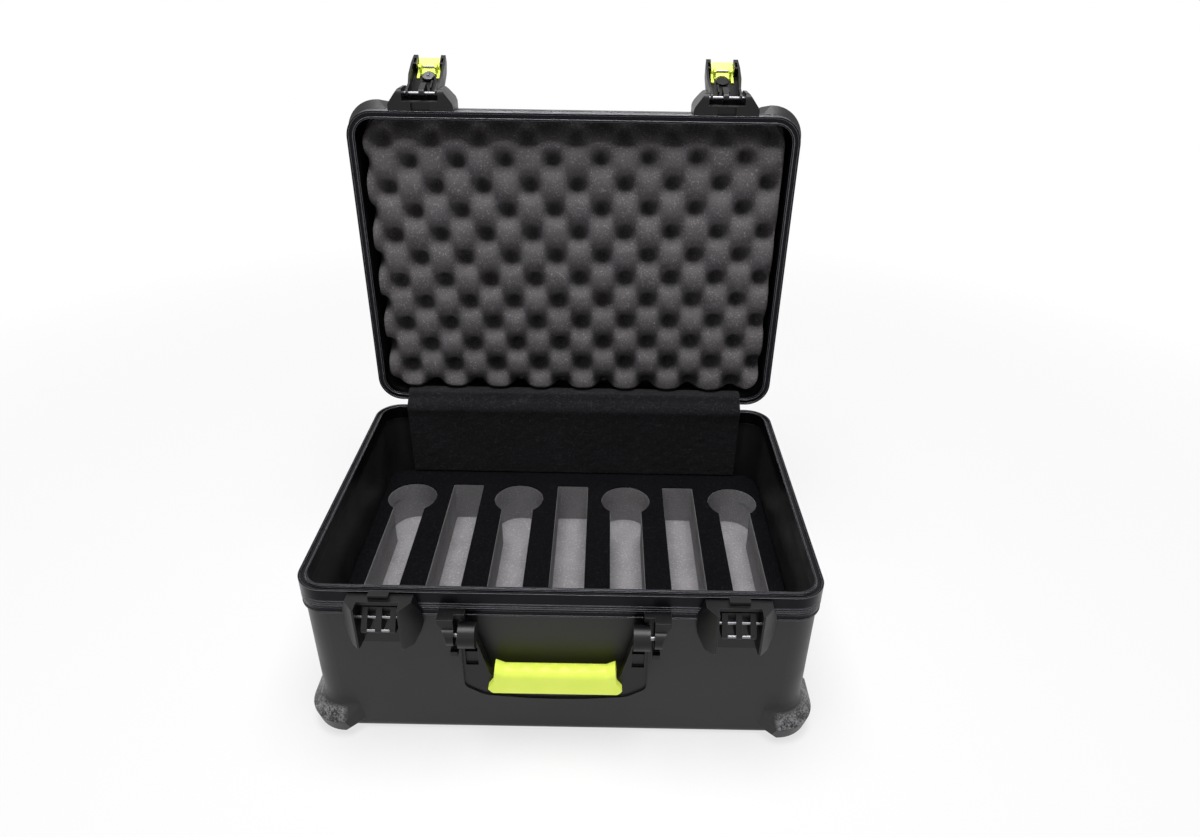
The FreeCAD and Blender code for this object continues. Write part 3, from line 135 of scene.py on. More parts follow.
class InsertSettings(bpy.types.PropertyGroup):
    half_width: length_property("Half width", "Half the insert's width", SKIN_HIGH.x)
    half_depth: length_property("Half depth", "Half the insert's depth", SKIN_HIGH.y)
    corner: length_property("Corner radius", "Corner radius of the outline", 0.022)
    pocket_pitch: length_property("Pocket pitch", "From pocket to pocket", 0.071)
    pocket_half: length_property("Pocket half width", "Half a slot's width", 0.0205)
    pocket_end: length_property("Pocket end", "Slot ends from the middle", 0.1435)
    head_radius: length_property("Head radius", "Round end of each pocket", 0.032)
    head_back: length_property("Head place", "Centre of a round end from the middle", 0.1115)
    slot_corner: length_property("Slot corner radius", "Corners of a slot's square end", 0.0025)
    pocket_count: bpy.props.IntProperty(name="Pockets", description="Number of pockets",
                                        default=7, min=1)


class FleeceSettings(bpy.types.PropertyGroup):
    half_width: length_property("Half width", "Half the strip's width", FLEECE_HIGH.x)
    thickness: length_property("Thickness", "Thickness of the pile", 0.0016)
    loop: length_property("Pile height", "How uneven the pile stands", 0.0005)
    sag: length_property("Sag", "How far the strip bulges at the hinge gap", 0.002)


class StageSettings(bpy.types.PropertyGroup):
    lens: bpy.props.FloatProperty(name="Lens", description="Focal length", default=24.48,
                                  unit="CAMERA")
    camera_place: bpy.props.FloatVectorProperty(name="Camera place", description="Where it stands",
                                                default=(0.0383, -0.7758, 0.7366),
                                                subtype="TRANSLATION", unit="LENGTH")
    pitch: bpy.props.FloatProperty(name="Pitch", description="Tilt down from level",
                                   default=0.5257, unit="ROTATION")
    yaw: bpy.props.FloatProperty(name="Yaw", description="Turn to the right",
                                 default=-0.0032, unit="ROTATION")
    roll: bpy.props.FloatProperty(name="Roll", description="Turn about the line of sight",
                                  default=0.0151, unit="ROTATION")
    top_light: bpy.props.FloatProperty(name="Top light", description="Large overhead lamp",
                                       default=48.0, unit="POWER")
    front_light: bpy.props.FloatProperty(name="Front light", description="Large lamp in front",
                                         default=4.0, unit="POWER")
    ambient: bpy.props.FloatProperty(name="Ambient", description="Light from all round",
                                     default=0.06)
    floor: colour_property("Floor", "Pale floor", paint(248, 248, 249))


# Meshes

def grid_faces(rows, columns, first=0):
    """Quads between the neighbours of a rows by columns grid of points, numbered row by row."""
    corner = first + np.arange(rows * columns).reshape(rows, columns)
    quads = np.stack([corner[:-1, :-1], corner[:-1, 1:], corner[1:, 1:], corner[1:, :-1]], -1)
    return quads.reshape(-1, 4)


def new_piece(name, points, faces, uv=None):
    """Object from points, faces and, for each point, its place on the flat cloth."""
    mesh = bpy.data.meshes.new(name)
    mesh.from_pydata(points.reshape(-1, 3).tolist(), [], [list(map(int, face)) for face in faces])
    if uv is not None:
        layer = mesh.uv_layers.new(name="flat")
        corners = np.empty(len(mesh.loops), np.int32)
        mesh.loops.foreach_get("vertex_index", corners)
        layer.data.foreach_set("uv", uv.reshape(-1, 2)[corners].astype(np.float32).ravel())
    piece = bpy.data.objects.new(name, mesh)
    bpy.context.scene.collection.objects.link(piece)
    mesh.validate()
    return piece


def clean_mesh(piece, merge_within=1e-6):
    """Merge doubled points and turn all faces outwards."""
    work = bmesh.new()
    work.from_mesh(piece.data)
    bmesh.ops.remove_doubles(work, verts=work.verts, dist=merge_within)
    bmesh.ops.recalc_face_normals(work, faces=work.faces)
    work.to_mesh(piece.data)
    work.free()


def shade_smooth(piece):
    piece.data.polygons.foreach_set("use_smooth", [True] * len(piece.data.polygons))
    piece.data.update()


def apply_modifiers(piece):
    """Replace the mesh by what its modifiers make of it."""
    graph = bpy.context.evaluated_depsgraph_get()
    mesh = bpy.data.meshes.new_from_object(piece.evaluated_get(graph))
    piece.modifiers.clear()
    piece.data = mesh


def ripple(points, wavelength, seed):
    """Smooth unevenness from -1 to 1: the mean of eight sine waves with seeded directions."""
    random = np.random.default_rng(seed)
    count = 8
    directions = random.normal(size=(count, 3))
    directions /= np.linalg.norm(directions, axis=1, keepdims=True)
    pace = 2 * math.pi / (wavelength * random.uniform(0.7, 1.5, count))
    phase = random.uniform(0, 2 * math.pi, count)
    return np.sin(points @ directions.T * pace + phase).mean(-1) * math.sqrt(2)


def open_lid(points):
    """Turn points of the shut lid about the hinge axis to where the lid stands at rest."""
    angle = -math.radians(LID_HINGE["range_deg"][1])
    centre = np.array(LID_HINGE["pos_m"])
    turn = np.array([[1, 0, 0],
                     [0, math.cos(angle), -math.sin(angle)],
                     [0, math.sin(angle), math.cos(angle)]])
    return (points - centre) @ turn.T + centre


def half_width_at(along, half_width, half_depth, corner):
    """Half width of a rounded rectangle at a distance from its middle: full, less the corner arc."""
    into = np.clip(np.abs(along) - (half_depth - corner), 0, corner)
    return half_width - corner + np.sqrt(corner ** 2 - into ** 2)


# Node groups and materials

def node(tree, kind, inputs=None, **settings):
    """Add a node, set its properties, and feed its inputs values or other nodes' outputs."""
    new = tree.nodes.new(kind)
    for name, value in settings.items():
        setattr(new, name, value)
    for name, value in (inputs or {}).items():
        if isinstance(value, bpy.types.NodeSocket):
            tree.links.new(value, new.inputs[name])
        else:
            new.inputs[name].default_value = value
    return new


def noise(tree, vector, scale, detail=2.0, roughness=0.5, distortion=0.0):
    """Soft noise, 0 to 1, with scale waves to the metre."""
    return node(tree, "ShaderNodeTexNoise", {
        "Vector": vector, "Scale": scale, "Detail": detail, "Roughness": roughness,
        "Distortion": distortion}).outputs["Fac"]


def remap(tree, value, low, high, to_low=0.0, to_high=1.0):
    """Stretch a value's range low to high over to_low to to_high, and cut it off there."""
    return node(tree, "ShaderNodeMapRange", {
        "Value": value, "From Min": low, "From Max": high,
        "To Min": to_low, "To Max": to_high}).outputs["Result"]


def maths(tree, operation, first, second=0.0):
    return node(tree, "ShaderNodeMath", {0: first, 1: second}, operation=operation).outputs[0]


def blend_colour(tree, share, first, second):
    """First colour where share is 0, second where it is 1."""
    return node(tree, "ShaderNodeMix", {0: share, 6: first, 7: second},
                data_type="RGBA").outputs[2]


def start_group(name, inputs, outputs):
    """Empty node group with named float inputs and named outputs, and its two end nodes."""
    tree = bpy.data.node_groups.new(name, "ShaderNodeTree")
    for label, default in inputs.items():
        socket = tree.interface.new_socket(label, in_out="INPUT", socket_type="NodeSocketFloat")
        socket.default_value = default
    for label, kind in outputs.items():
        tree.interface.new_socket(label, in_out="OUTPUT", socket_type=kind)
    return tree, tree.nodes.new("NodeGroupInput"), tree.nodes.new("NodeGroupOutput")


def moulded_grain_group():
    """Fine eroded grain: small noise for height, broad noise for patches of more and less shine."""
    tree, given, result = start_group(
        "Moulded grain", {"Grain size": 0.0008, "Patch size": 0.05},
        {"Height": "NodeSocketFloat", "Patches": "NodeSocketFloat"})
    place = node(tree, "ShaderNodeTexCoord").outputs["Object"]
    fine = maths(tree, "DIVIDE", 1.0, given.outputs["Grain size"])
    broad = maths(tree, "DIVIDE", 1.0, given.outputs["Patch size"])
    tree.links.new(noise(tree, place, fine, 3.0, 0.6), result.inputs["Height"])
    patches = remap(tree, noise(tree, place, broad, 5.0, 0.62), 0.35, 0.65)
    tree.links.new(patches, result.inputs["Patches"])
    return tree


def edge_wear_group():
    """Where a rounded normal leaves the true one, an edge is near; noise breaks the line up."""
    tree, given, result = start_group(
        "Edge wear", {"Reach": 0.001, "Amount": 0.5, "Broken": 0.6, "Break-up": 0.006},
        {"Mask": "NodeSocketFloat"})
    rounded = node(tree, "ShaderNodeBevel", {"Radius": given.outputs["Reach"]}, samples=6)
    flat = node(tree, "ShaderNodeNewGeometry").outputs["Normal"]
    turned = node(tree, "ShaderNodeVectorMath", {0: rounded.outputs["Normal"], 1: flat},
                  operation="DOT_PRODUCT").outputs["Value"]
    edge = remap(tree, turned, 0.995, 0.86)
    place = node(tree, "ShaderNodeTexCoord").outputs["Object"]
    gaps = noise(tree, place, maths(tree, "DIVIDE", 1.0, given.outputs["Break-up"]), 4.0, 0.7)
    missing = maths(tree, "MULTIPLY", remap(tree, gaps, 0.6, 0.4), given.outputs["Broken"])
    worn = maths(tree, "SUBTRACT", 1.0, missing)
    mask = maths(tree, "MULTIPLY", maths(tree, "MULTIPLY", edge, worn), given.outputs["Amount"])
    tree.links.new(mask, result.inputs["Mask"])
    return tree


def dust_group():
    """Dust settles on faces that look up: their upward share, broken up by noise."""
    tree, given, result = start_group("Settled dust", {"Amount": 0.2, "Speck size": 0.002},
                                      {"Mask": "NodeSocketFloat"})
    coordinates = node(tree, "ShaderNodeTexCoord")
    up = node(tree, "ShaderNodeSeparateXYZ", {0: coordinates.outputs["Normal"]}).outputs["Z"]
    shelf = remap(tree, up, 0.3, 1.0)
    broad = noise(tree, coordinates.outputs["Object"], 24.0, 4.0, 0.6)
    specks = noise(tree, coordinates.outputs["Object"],
                   maths(tree, "DIVIDE", 1.0, given.outputs["Speck size"]), 2.0, 0.8)
    scatter = maths(tree, "MULTIPLY", remap(tree, broad, 0.35, 0.7),
                    remap(tree, specks, 0.45, 0.75))
    mask = maths(tree, "MULTIPLY", maths(tree, "MULTIPLY", shelf, scatter),
                 given.outputs["Amount"])
    tree.links.new(mask, result.inputs["Mask"])
    return tree


def foot_scuffs_and_highlight_group():
    """Scuffs and painted highlight on the feet: specks low on the case, near its corners, on faces that look up.
    """
    tree, given, result = start_group(
        "Foot scuffs", {"Top": 0.037, "From middle": 0.225, "Speck size": 0.0022},
        {"Mask": "NodeSocketFloat"})
    coordinates = node(tree, "ShaderNodeTexCoord")
    place = node(tree, "ShaderNodeSeparateXYZ", {0: coordinates.outputs["Object"]}).outputs
    up = node(tree, "ShaderNodeSeparateXYZ", {0: coordinates.outputs["Normal"]}).outputs["Z"]
    below = maths(tree, "SUBTRACT", given.outputs["Top"], place["Z"])
    aside = maths(tree, "SUBTRACT", maths(tree, "ABSOLUTE", place["X"]),
                  given.outputs["From middle"])
    where = maths(tree, "MULTIPLY", remap(tree, below, 0.0, 0.004), remap(tree, aside, 0.0, 0.006))
    where = maths(tree, "MULTIPLY", where, remap(tree, up, 0.12, 0.35))
    fine = maths(tree, "DIVIDE", 1.0, given.outputs["Speck size"])
    specks = noise(tree, coordinates.outputs["Object"], fine, 3.0, 0.75)
    broad = noise(tree, coordinates.outputs["Object"], 70.0, 3.0, 0.6)
    specks = maths(tree, "ADD", maths(tree, "MULTIPLY", specks, 0.6),
                   maths(tree, "MULTIPLY", broad, 0.4))
    tree.links.new(maths(tree, "MULTIPLY", where, remap(tree, specks, 0.44, 0.58)),
                   result.inputs["Mask"])
    return tree


def foam_cells_group():
    """Open cells: distance to the walls of crumpled cells for height, fine noise for specks."""
    tree, given, result = start_group(
        "Foam cells", {"Cell size": 0.0012},
        {"Height": "NodeSocketFloat", "Specks": "NodeSocketFloat", "Shade": "NodeSocketFloat"})
    place = node(tree, "ShaderNodeTexCoord").outputs["Object"]
    pace = maths(tree, "DIVIDE", 1.0, given.outputs["Cell size"])
    cells = node(tree, "ShaderNodeTexVoronoi", {"Vector": place, "Scale": pace},
                 feature="F1").outputs["Distance"]
    rough = noise(tree, place, pace, 3.0, 0.7)
    height = maths(tree, "ADD", cells, rough)
    tree.links.new(height, result.inputs["Height"])
    specks = noise(tree, place, maths(tree, "MULTIPLY", pace, 0.75), 1.0, 0.6)
    tree.links.new(remap(tree, specks, 0.56, 0.74), result.inputs["Specks"])
    tree.links.new(remap(tree, noise(tree, place, 30.0, 3.0), 0.3, 0.7),
                   result.inputs["Shade"])
    return tree


def matted_fibre_group():
    """Matted fibres: two strongly distorted noises drawn out across each other."""
    tree, given, result = start_group(
        "Matted fibres", {"Fibre size": 0.0015},
        {"Height": "NodeSocketFloat", "Lint": "NodeSocketFloat", "Shade": "NodeSocketFloat"})
    place = node(tree, "ShaderNodeTexCoord").outputs["Object"]
    pace = maths(tree, "DIVIDE", 1.0, given.outputs["Fibre size"])
    across = node(tree, "ShaderNodeMapping", {"Vector": place, "Scale": (1.0, 0.35, 0.6)})
    along = node(tree, "ShaderNodeMapping", {"Vector": place, "Scale": (0.35, 1.0, 1.0)})
    first = noise(tree, across.outputs["Vector"], pace, 3.0, 0.65, 1.4)
    second = noise(tree, along.outputs["Vector"], pace, 3.0, 0.65, 1.4)
    tree.links.new(maths(tree, "MAXIMUM", first, second), result.inputs["Height"])
    tree.links.new(remap(tree, maths(tree, "MAXIMUM", first, second), 0.56, 0.7),
                   result.inputs["Lint"])
    tree.links.new(remap(tree, noise(tree, place, 18.0, 4.0), 0.3, 0.7), result.inputs["Shade"])
    return tree


def use_group(tree, group, **values):
    """Place a shared node group and set its inputs."""
    placed = node(tree, "ShaderNodeGroup", node_tree=group)
    for name, value in values.items():
        placed.inputs[name.replace("_", " ").capitalize()].default_value = value
    return placed


def shared_groups():
    """The node groups that several materials use, built once."""
    makers = {"grain": moulded_grain_group, "wear": edge_wear_group, "dust": dust_group,
              "scuffs": foot_scuffs_and_highlight_group, "cells": foam_cells_group,
              "fibres": matted_fibre_group}
    return {name: maker() for name, maker in makers.items()}


def start_material(name):
    """Node material with a Principled shader, and its node tree."""
    material = bpy.data.materials.new(name)
    material.use_nodes = True
    tree = material.node_tree
    tree.nodes.clear()
    shader = tree.nodes.new("ShaderNodeBsdfPrincipled")
    output = tree.nodes.new("ShaderNodeOutputMaterial")
    tree.links.new(shader.outputs[0], output.inputs[0])
    return material, tree, shader


def shade(colour, factor):
    """The same colour, lighter or darker."""
    return (*[min(1.0, channel * factor) for channel in colour[:3]], 1.0)


def hard_material(groups, name, colour, worn, roughness, grain=0.0008, grain_depth=0.00003,
                  metallic=0.0, wear=0.5, wear_reach=0.0009, broken=0.6, dust=0.12,
                  specular=0.5, variation=0.18, scuffs_and_highlight=None):
    """Moulded or metal surface: patchy colour and shine, rubbed edges, dust, a fine grain, and, where
    a colour for them is given, lighter specks on the feet that are scuffs and painted highlight."""
    material, tree, shader = start_material(name)
    moulded = use_group(tree, groups["grain"], grain_size=grain)
    edges = use_group(tree, groups["wear"], reach=wear_reach, amount=wear, broken=broken)
    settled = use_group(tree, groups["dust"], amount=dust)
    patches = moulded.outputs["Patches"]
    base = blend_colour(tree, patches, shade(colour, 1 - variation), shade(colour, 1 + variation))
    base = blend_colour(tree, edges.outputs["Mask"], base, worn)
    base = blend_colour(tree, settled.outputs["Mask"], base, paint(*DUST))
    if scuffs_and_highlight is not None:
        # Lighter specks on the feet: scuffs, and painted highlight on the faces that look up
        scuffs = use_group(tree, groups["scuffs"])
        base = blend_colour(tree, scuffs.outputs["Mask"], base, scuffs_and_highlight)
    tree.links.new(base, shader.inputs["Base Color"])
    shine = remap(tree, patches, 0.0, 1.0, roughness - 0.05, roughness + 0.06)
    shine = maths(tree, "ADD", shine, maths(tree, "MULTIPLY", settled.outputs["Mask"], 0.4))
    tree.links.new(shine, shader.inputs["Roughness"])
    shader.inputs["Metallic"].default_value = metallic
    shader.inputs["Specular IOR Level"].default_value = specular
    rounded = node(tree, "ShaderNodeBevel", {"Radius": wear_reach * 0.6}, samples=4)
    bump = node(tree, "ShaderNodeBump", {
        "Height": moulded.outputs["Height"], "Distance": grain_depth, "Strength": 1.0,
        "Normal": rounded.outputs["Normal"]})
    tree.links.new(bump.outputs["Normal"], shader.inputs["Normal"])
    return material


def soft_material(groups, name, kind, size, depth, dark, light, speck, sheen=0.0,
                  roughness=0.95):
    """Foam, felt or fleece: broad shading, light specks or lint, and a bumpy open surface."""
    material, tree, shader = start_material(name)
    placed = use_group(tree, groups[kind])
    placed.inputs[0].default_value = size
    bright = placed.outputs[1]
    base = blend_colour(tree, placed.outputs["Shade"], dark, light)
    base = blend_colour(tree, bright, base, speck)
    tree.links.new(base, shader.inputs["Base Color"])
    shader.inputs["Roughness"].default_value = roughness
    shader.inputs["Specular IOR Level"].default_value = 0.06
    shader.inputs["Sheen Weight"].default_value = sheen
    shader.inputs["Sheen Roughness"].default_value = 0.6
    bump = node(tree, "ShaderNodeBump", {"Height": placed.outputs["Height"], "Distance": depth,
                                         "Strength": 0.9})
    tree.links.new(bump.outputs["Normal"], shader.inputs["Normal"])
    return material


def neon_material(groups, name, colour, deep, roughness, grain, grain_depth, painted_glow, rounding):
    """Neon plastic: saturated colour, deeper in broad patches, with a painted glow: it emits a little
    of its own colour, under a soft even sheen."""
    material, tree, shader = start_material(name)
    moulded = use_group(tree, groups["grain"], grain_size=grain, patch_size=0.03)
    settled = use_group(tree, groups["dust"], amount=0.05)
    base = blend_colour(tree, remap(tree, moulded.outputs["Patches"], 0.0, 1.0, 0.0, 0.35),
                        colour, deep)
    base = blend_colour(tree, settled.outputs["Mask"], base, paint(*NEON_DUST))
    tree.links.new(base, shader.inputs["Base Color"])
    tree.links.new(remap(tree, moulded.outputs["Patches"], 0.0, 1.0, roughness - 0.05,
                         roughness + 0.05), shader.inputs["Roughness"])
    # Painted glow: the base colour is emitted too, so the plastic looks lit beyond what the lamps give
    tree.links.new(base, shader.inputs["Emission Color"])
    shader.inputs["Emission Strength"].default_value = painted_glow
    shader.inputs["Subsurface Weight"].default_value = 0.15
    shader.inputs["Subsurface Scale"].default_value = 0.002
    shader.inputs["Subsurface Radius"].default_value = (1.0, 1.0, 0.2)
    rounded = node(tree, "ShaderNodeBevel", {"Radius": rounding}, samples=4)
    bump = node(tree, "ShaderNodeBump", {
        "Height": moulded.outputs["Height"], "Distance": grain_depth, "Strength": 1.0,
        "Normal": rounded.outputs["Normal"]})
    tree.links.new(bump.outputs["Normal"], shader.inputs["Normal"])
    return material


def case_materials():
    """All finishes of the case, by material slot."""
    groups = shared_groups()
    colours = bpy.context.scene.case_colours
    shell, rim, fitting = colours.shell, colours.rim, colours.fitting
    return {
        "shell_plastic": hard_material(groups, "Satin shell", shell, colours.shell_worn, 0.42,
                                       grain=0.0009, grain_depth=0.00006, wear_reach=0.0012,
                                       specular=0.4, scuffs_and_highlight=colours.scuffs_and_highlight),
        "rim_metal": hard_material(groups, "Anodised rim", rim, colours.rim_worn, 0.34,
                                   grain=0.0006, grain_depth=0.00001, metallic=0.9, wear=0.6,
                                   wear_reach=0.0005, broken=0.15, dust=0.05, variation=0.08),
        "black_fitting": hard_material(groups, "Black fittings", fitting, colours.fitting_worn,
                                       0.36, grain=0.0005, grain_depth=0.00002, wear=0.35,
                                       wear_reach=0.0006, broken=0.3, dust=0.03, specular=0.28,
                                       variation=0.08),
        "steel": hard_material(groups, "Bright steel", colours.steel, paint(205, 205, 208), 0.28,
                               grain=0.0004, grain_depth=0.000005, metallic=1.0, wear=0.3,
                               dust=0.04, variation=0.08),
        "dark_steel": hard_material(groups, "Dark steel", colours.dark_steel,
                                    paint(150, 150, 152), 0.38, grain=0.0005,
                                    grain_depth=0.00001, metallic=0.9, wear=0.6),
        # Painted glow on the neon: 0.04 on the neon plastic, 0.22 on the grip
        "neon_plastic": neon_material(groups, "Neon plastic", colours.neon, colours.neon_deep,
                                      0.4, 0.0006, 0.00001, 0.04, 0.0008),
        "grip_rubber": neon_material(groups, "Grip rubber", colours.neon, colours.neon_deep,
                                     0.5, 0.0008, 0.00004, 0.22, 0.002),
        "foam_grey": soft_material(groups, "Egg-crate foam", "cells", 0.0016, 0.0009,
                                   shade(colours.foam, 0.86), shade(colours.foam, 1.1),
                                   shade(colours.foam, 1.9)),
        "foam_wall": soft_material(groups, "Cut foam", "cells", 0.0014, 0.0007,
                                   shade(colours.foam_wall, 0.9), shade(colours.foam_wall, 1.1),
                                   shade(colours.foam_wall, 1.5)),
        "foam_black": soft_material(groups, "Black felt skin", "fibres", 0.0016, 0.0005,
                                    shade(colours.felt, 0.8), shade(colours.felt, 1.15),
                                    shade(colours.felt, 4.5)),
        "fleece": soft_material(groups, "Black fleece", "fibres", 0.0026, 0.0012,
                                shade(colours.fleece, 0.75), shade(colours.fleece, 1.1),
                                shade(colours.fleece, 3.4), 0.08),
    }


def material_named(slot):
    """A finish that the materials operator made."""
    return bpy.data.materials[bpy.context.scene["case_finishes"][slot]]


def dress(piece, slot, finish=None):
    """Give a new piece the finish made for a record's slot, or the finish given instead."""
    piece.data.materials.clear()
    piece.data.materials.append(material_named(finish or slot))


# Operators

class CASE_OT_finishes(bpy.types.Operator):
    """Make every finish, and put it on the case's hard parts"""
    bl_idname = "case.finishes"
    bl_label = "Finishes"

    def execute(self, context):
        finishes = case_materials()
        context.scene["case_finishes"] = {slot: made.name for slot, made in finishes.items()}
        slots = [entry["slot"] for entry in frame["record"]["materials"]]
        for name, part in NODES.items():
            wanted = [slot for slot in slots if part.data.materials
                      and part.data.materials[0].name.split(".")[0] == slot]
            finish = finishes.get(wanted[0] if wanted else "shell_plastic")
            part.data.materials[0] = finish
        return {"FINISHED"}


class CASE_OT_lid_foam(bpy.types.Operator):
    """Egg-crate foam in the lid"""
    bl_idname = "case.lid_foam"
    bl_label = "Lid foam"

    def execute(self, context):
        foam = context.scene.case_lid_foam
        middle = (foam.front + foam.rear) / 2
        half_depth = (foam.rear - foam.front) / 2
        rows = round(2 * half_depth / foam.step)
        columns = round(2 * foam.half_width / foam.step)
        along = np.linspace(-half_depth, half_depth, rows)
        share = np.linspace(-1, 1, columns)
        wide = half_width_at(along, foam.half_width, half_depth, foam.corner)
        x = share[None, :] * wide[:, None]
        y = np.broadcast_to(middle + along[:, None], x.shape)
        top = np.stack([x, y, self.crate(foam, x, y)], -1)
        unevenness, wavelength, rings = 0.0009, 0.04, 5
        top[..., 2] += unevenness * ripple(top, wavelength, seed=3)
        points, faces = slab_with_fan(top, PARTING_UP + foam.back_up, rings)
        piece = new_piece("lid_egg_foam", open_lid(points), faces)
        clean_mesh(piece)
        shade_smooth(piece)
        dress(piece, "foam_grey")
        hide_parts("lid_foam")
        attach(piece, "lid")
        return {"FINISHED"}

    def crate(self, foam, x, y):
        """Height over the plan: pits where the product of two cosines is -1, peaks where it is 1.
        The rows run askew by the tilt. The depth mixes a low and a high power of how far the
        product is from a peak, for round nubs with narrow pits. Towards the front end the face
        falls back as a bell curve of the distance to the end."""
        across = x * math.cos(foam.tilt) - y * math.sin(foam.tilt)
        back = x * math.sin(foam.tilt) + y * math.cos(foam.tilt)
        row = (REAR_FACE - back - foam.first_row) / foam.row_pitch
        column = 2 * (across - foam.first_pit) / foam.pit_pitch
        product = -np.cos(math.pi * column) * np.cos(math.pi * row)
        away = (1 - product) / 2
        nub_share, nub_power, pit_power = 0.35, 1.5, 4
        fall = nub_share * away ** nub_power + (1 - nub_share) * away ** pit_power
        rolled = foam.end_fall * np.exp(-((y - foam.front) / foam.end_roll) ** 2)
        return PARTING_UP + foam.face_up + foam.depth * fall * (1 - rolled / foam.depth) + rolled


def slab_with_fan(top, back_z, rings):
    """Close a grid into a slab: its border drops to the back in rings, and a fan shuts the back."""
    rows, columns, _ = top.shape
    number = np.arange(rows * columns).reshape(rows, columns)
    border = np.concatenate([number[0, :-1], number[:-1, -1], number[-1, :0:-1],
                             number[:0:-1, 0]])
    edge = top.reshape(-1, 3)[border]
    shares = np.linspace(0, 1, rings + 1)[1:]
    sides = np.repeat(edge[None], rings, 0)
    sides[..., 2] = edge[None, :, 2] + shares[:, None] * (back_z - edge[None, :, 2])
    centre = edge.mean(0)
    centre[2] = back_z
    points = np.concatenate([top.reshape(-1, 3), sides.reshape(-1, 3), centre[None]])
    loops = np.concatenate([border[None], rows * columns
                            + np.arange(rings * len(border)).reshape(rings, -1)])
    after = np.roll(loops, -1, axis=1)
    walls = np.stack([loops[:-1], after[:-1], after[1:], loops[1:]], -1).reshape(-1, 4)
    fan = np.stack([loops[-1], after[-1], np.full(len(border), len(points) - 1)], -1)
    faces = [*grid_faces(rows, columns).tolist(), *walls.tolist(), *fan.tolist()]
    return points, faces


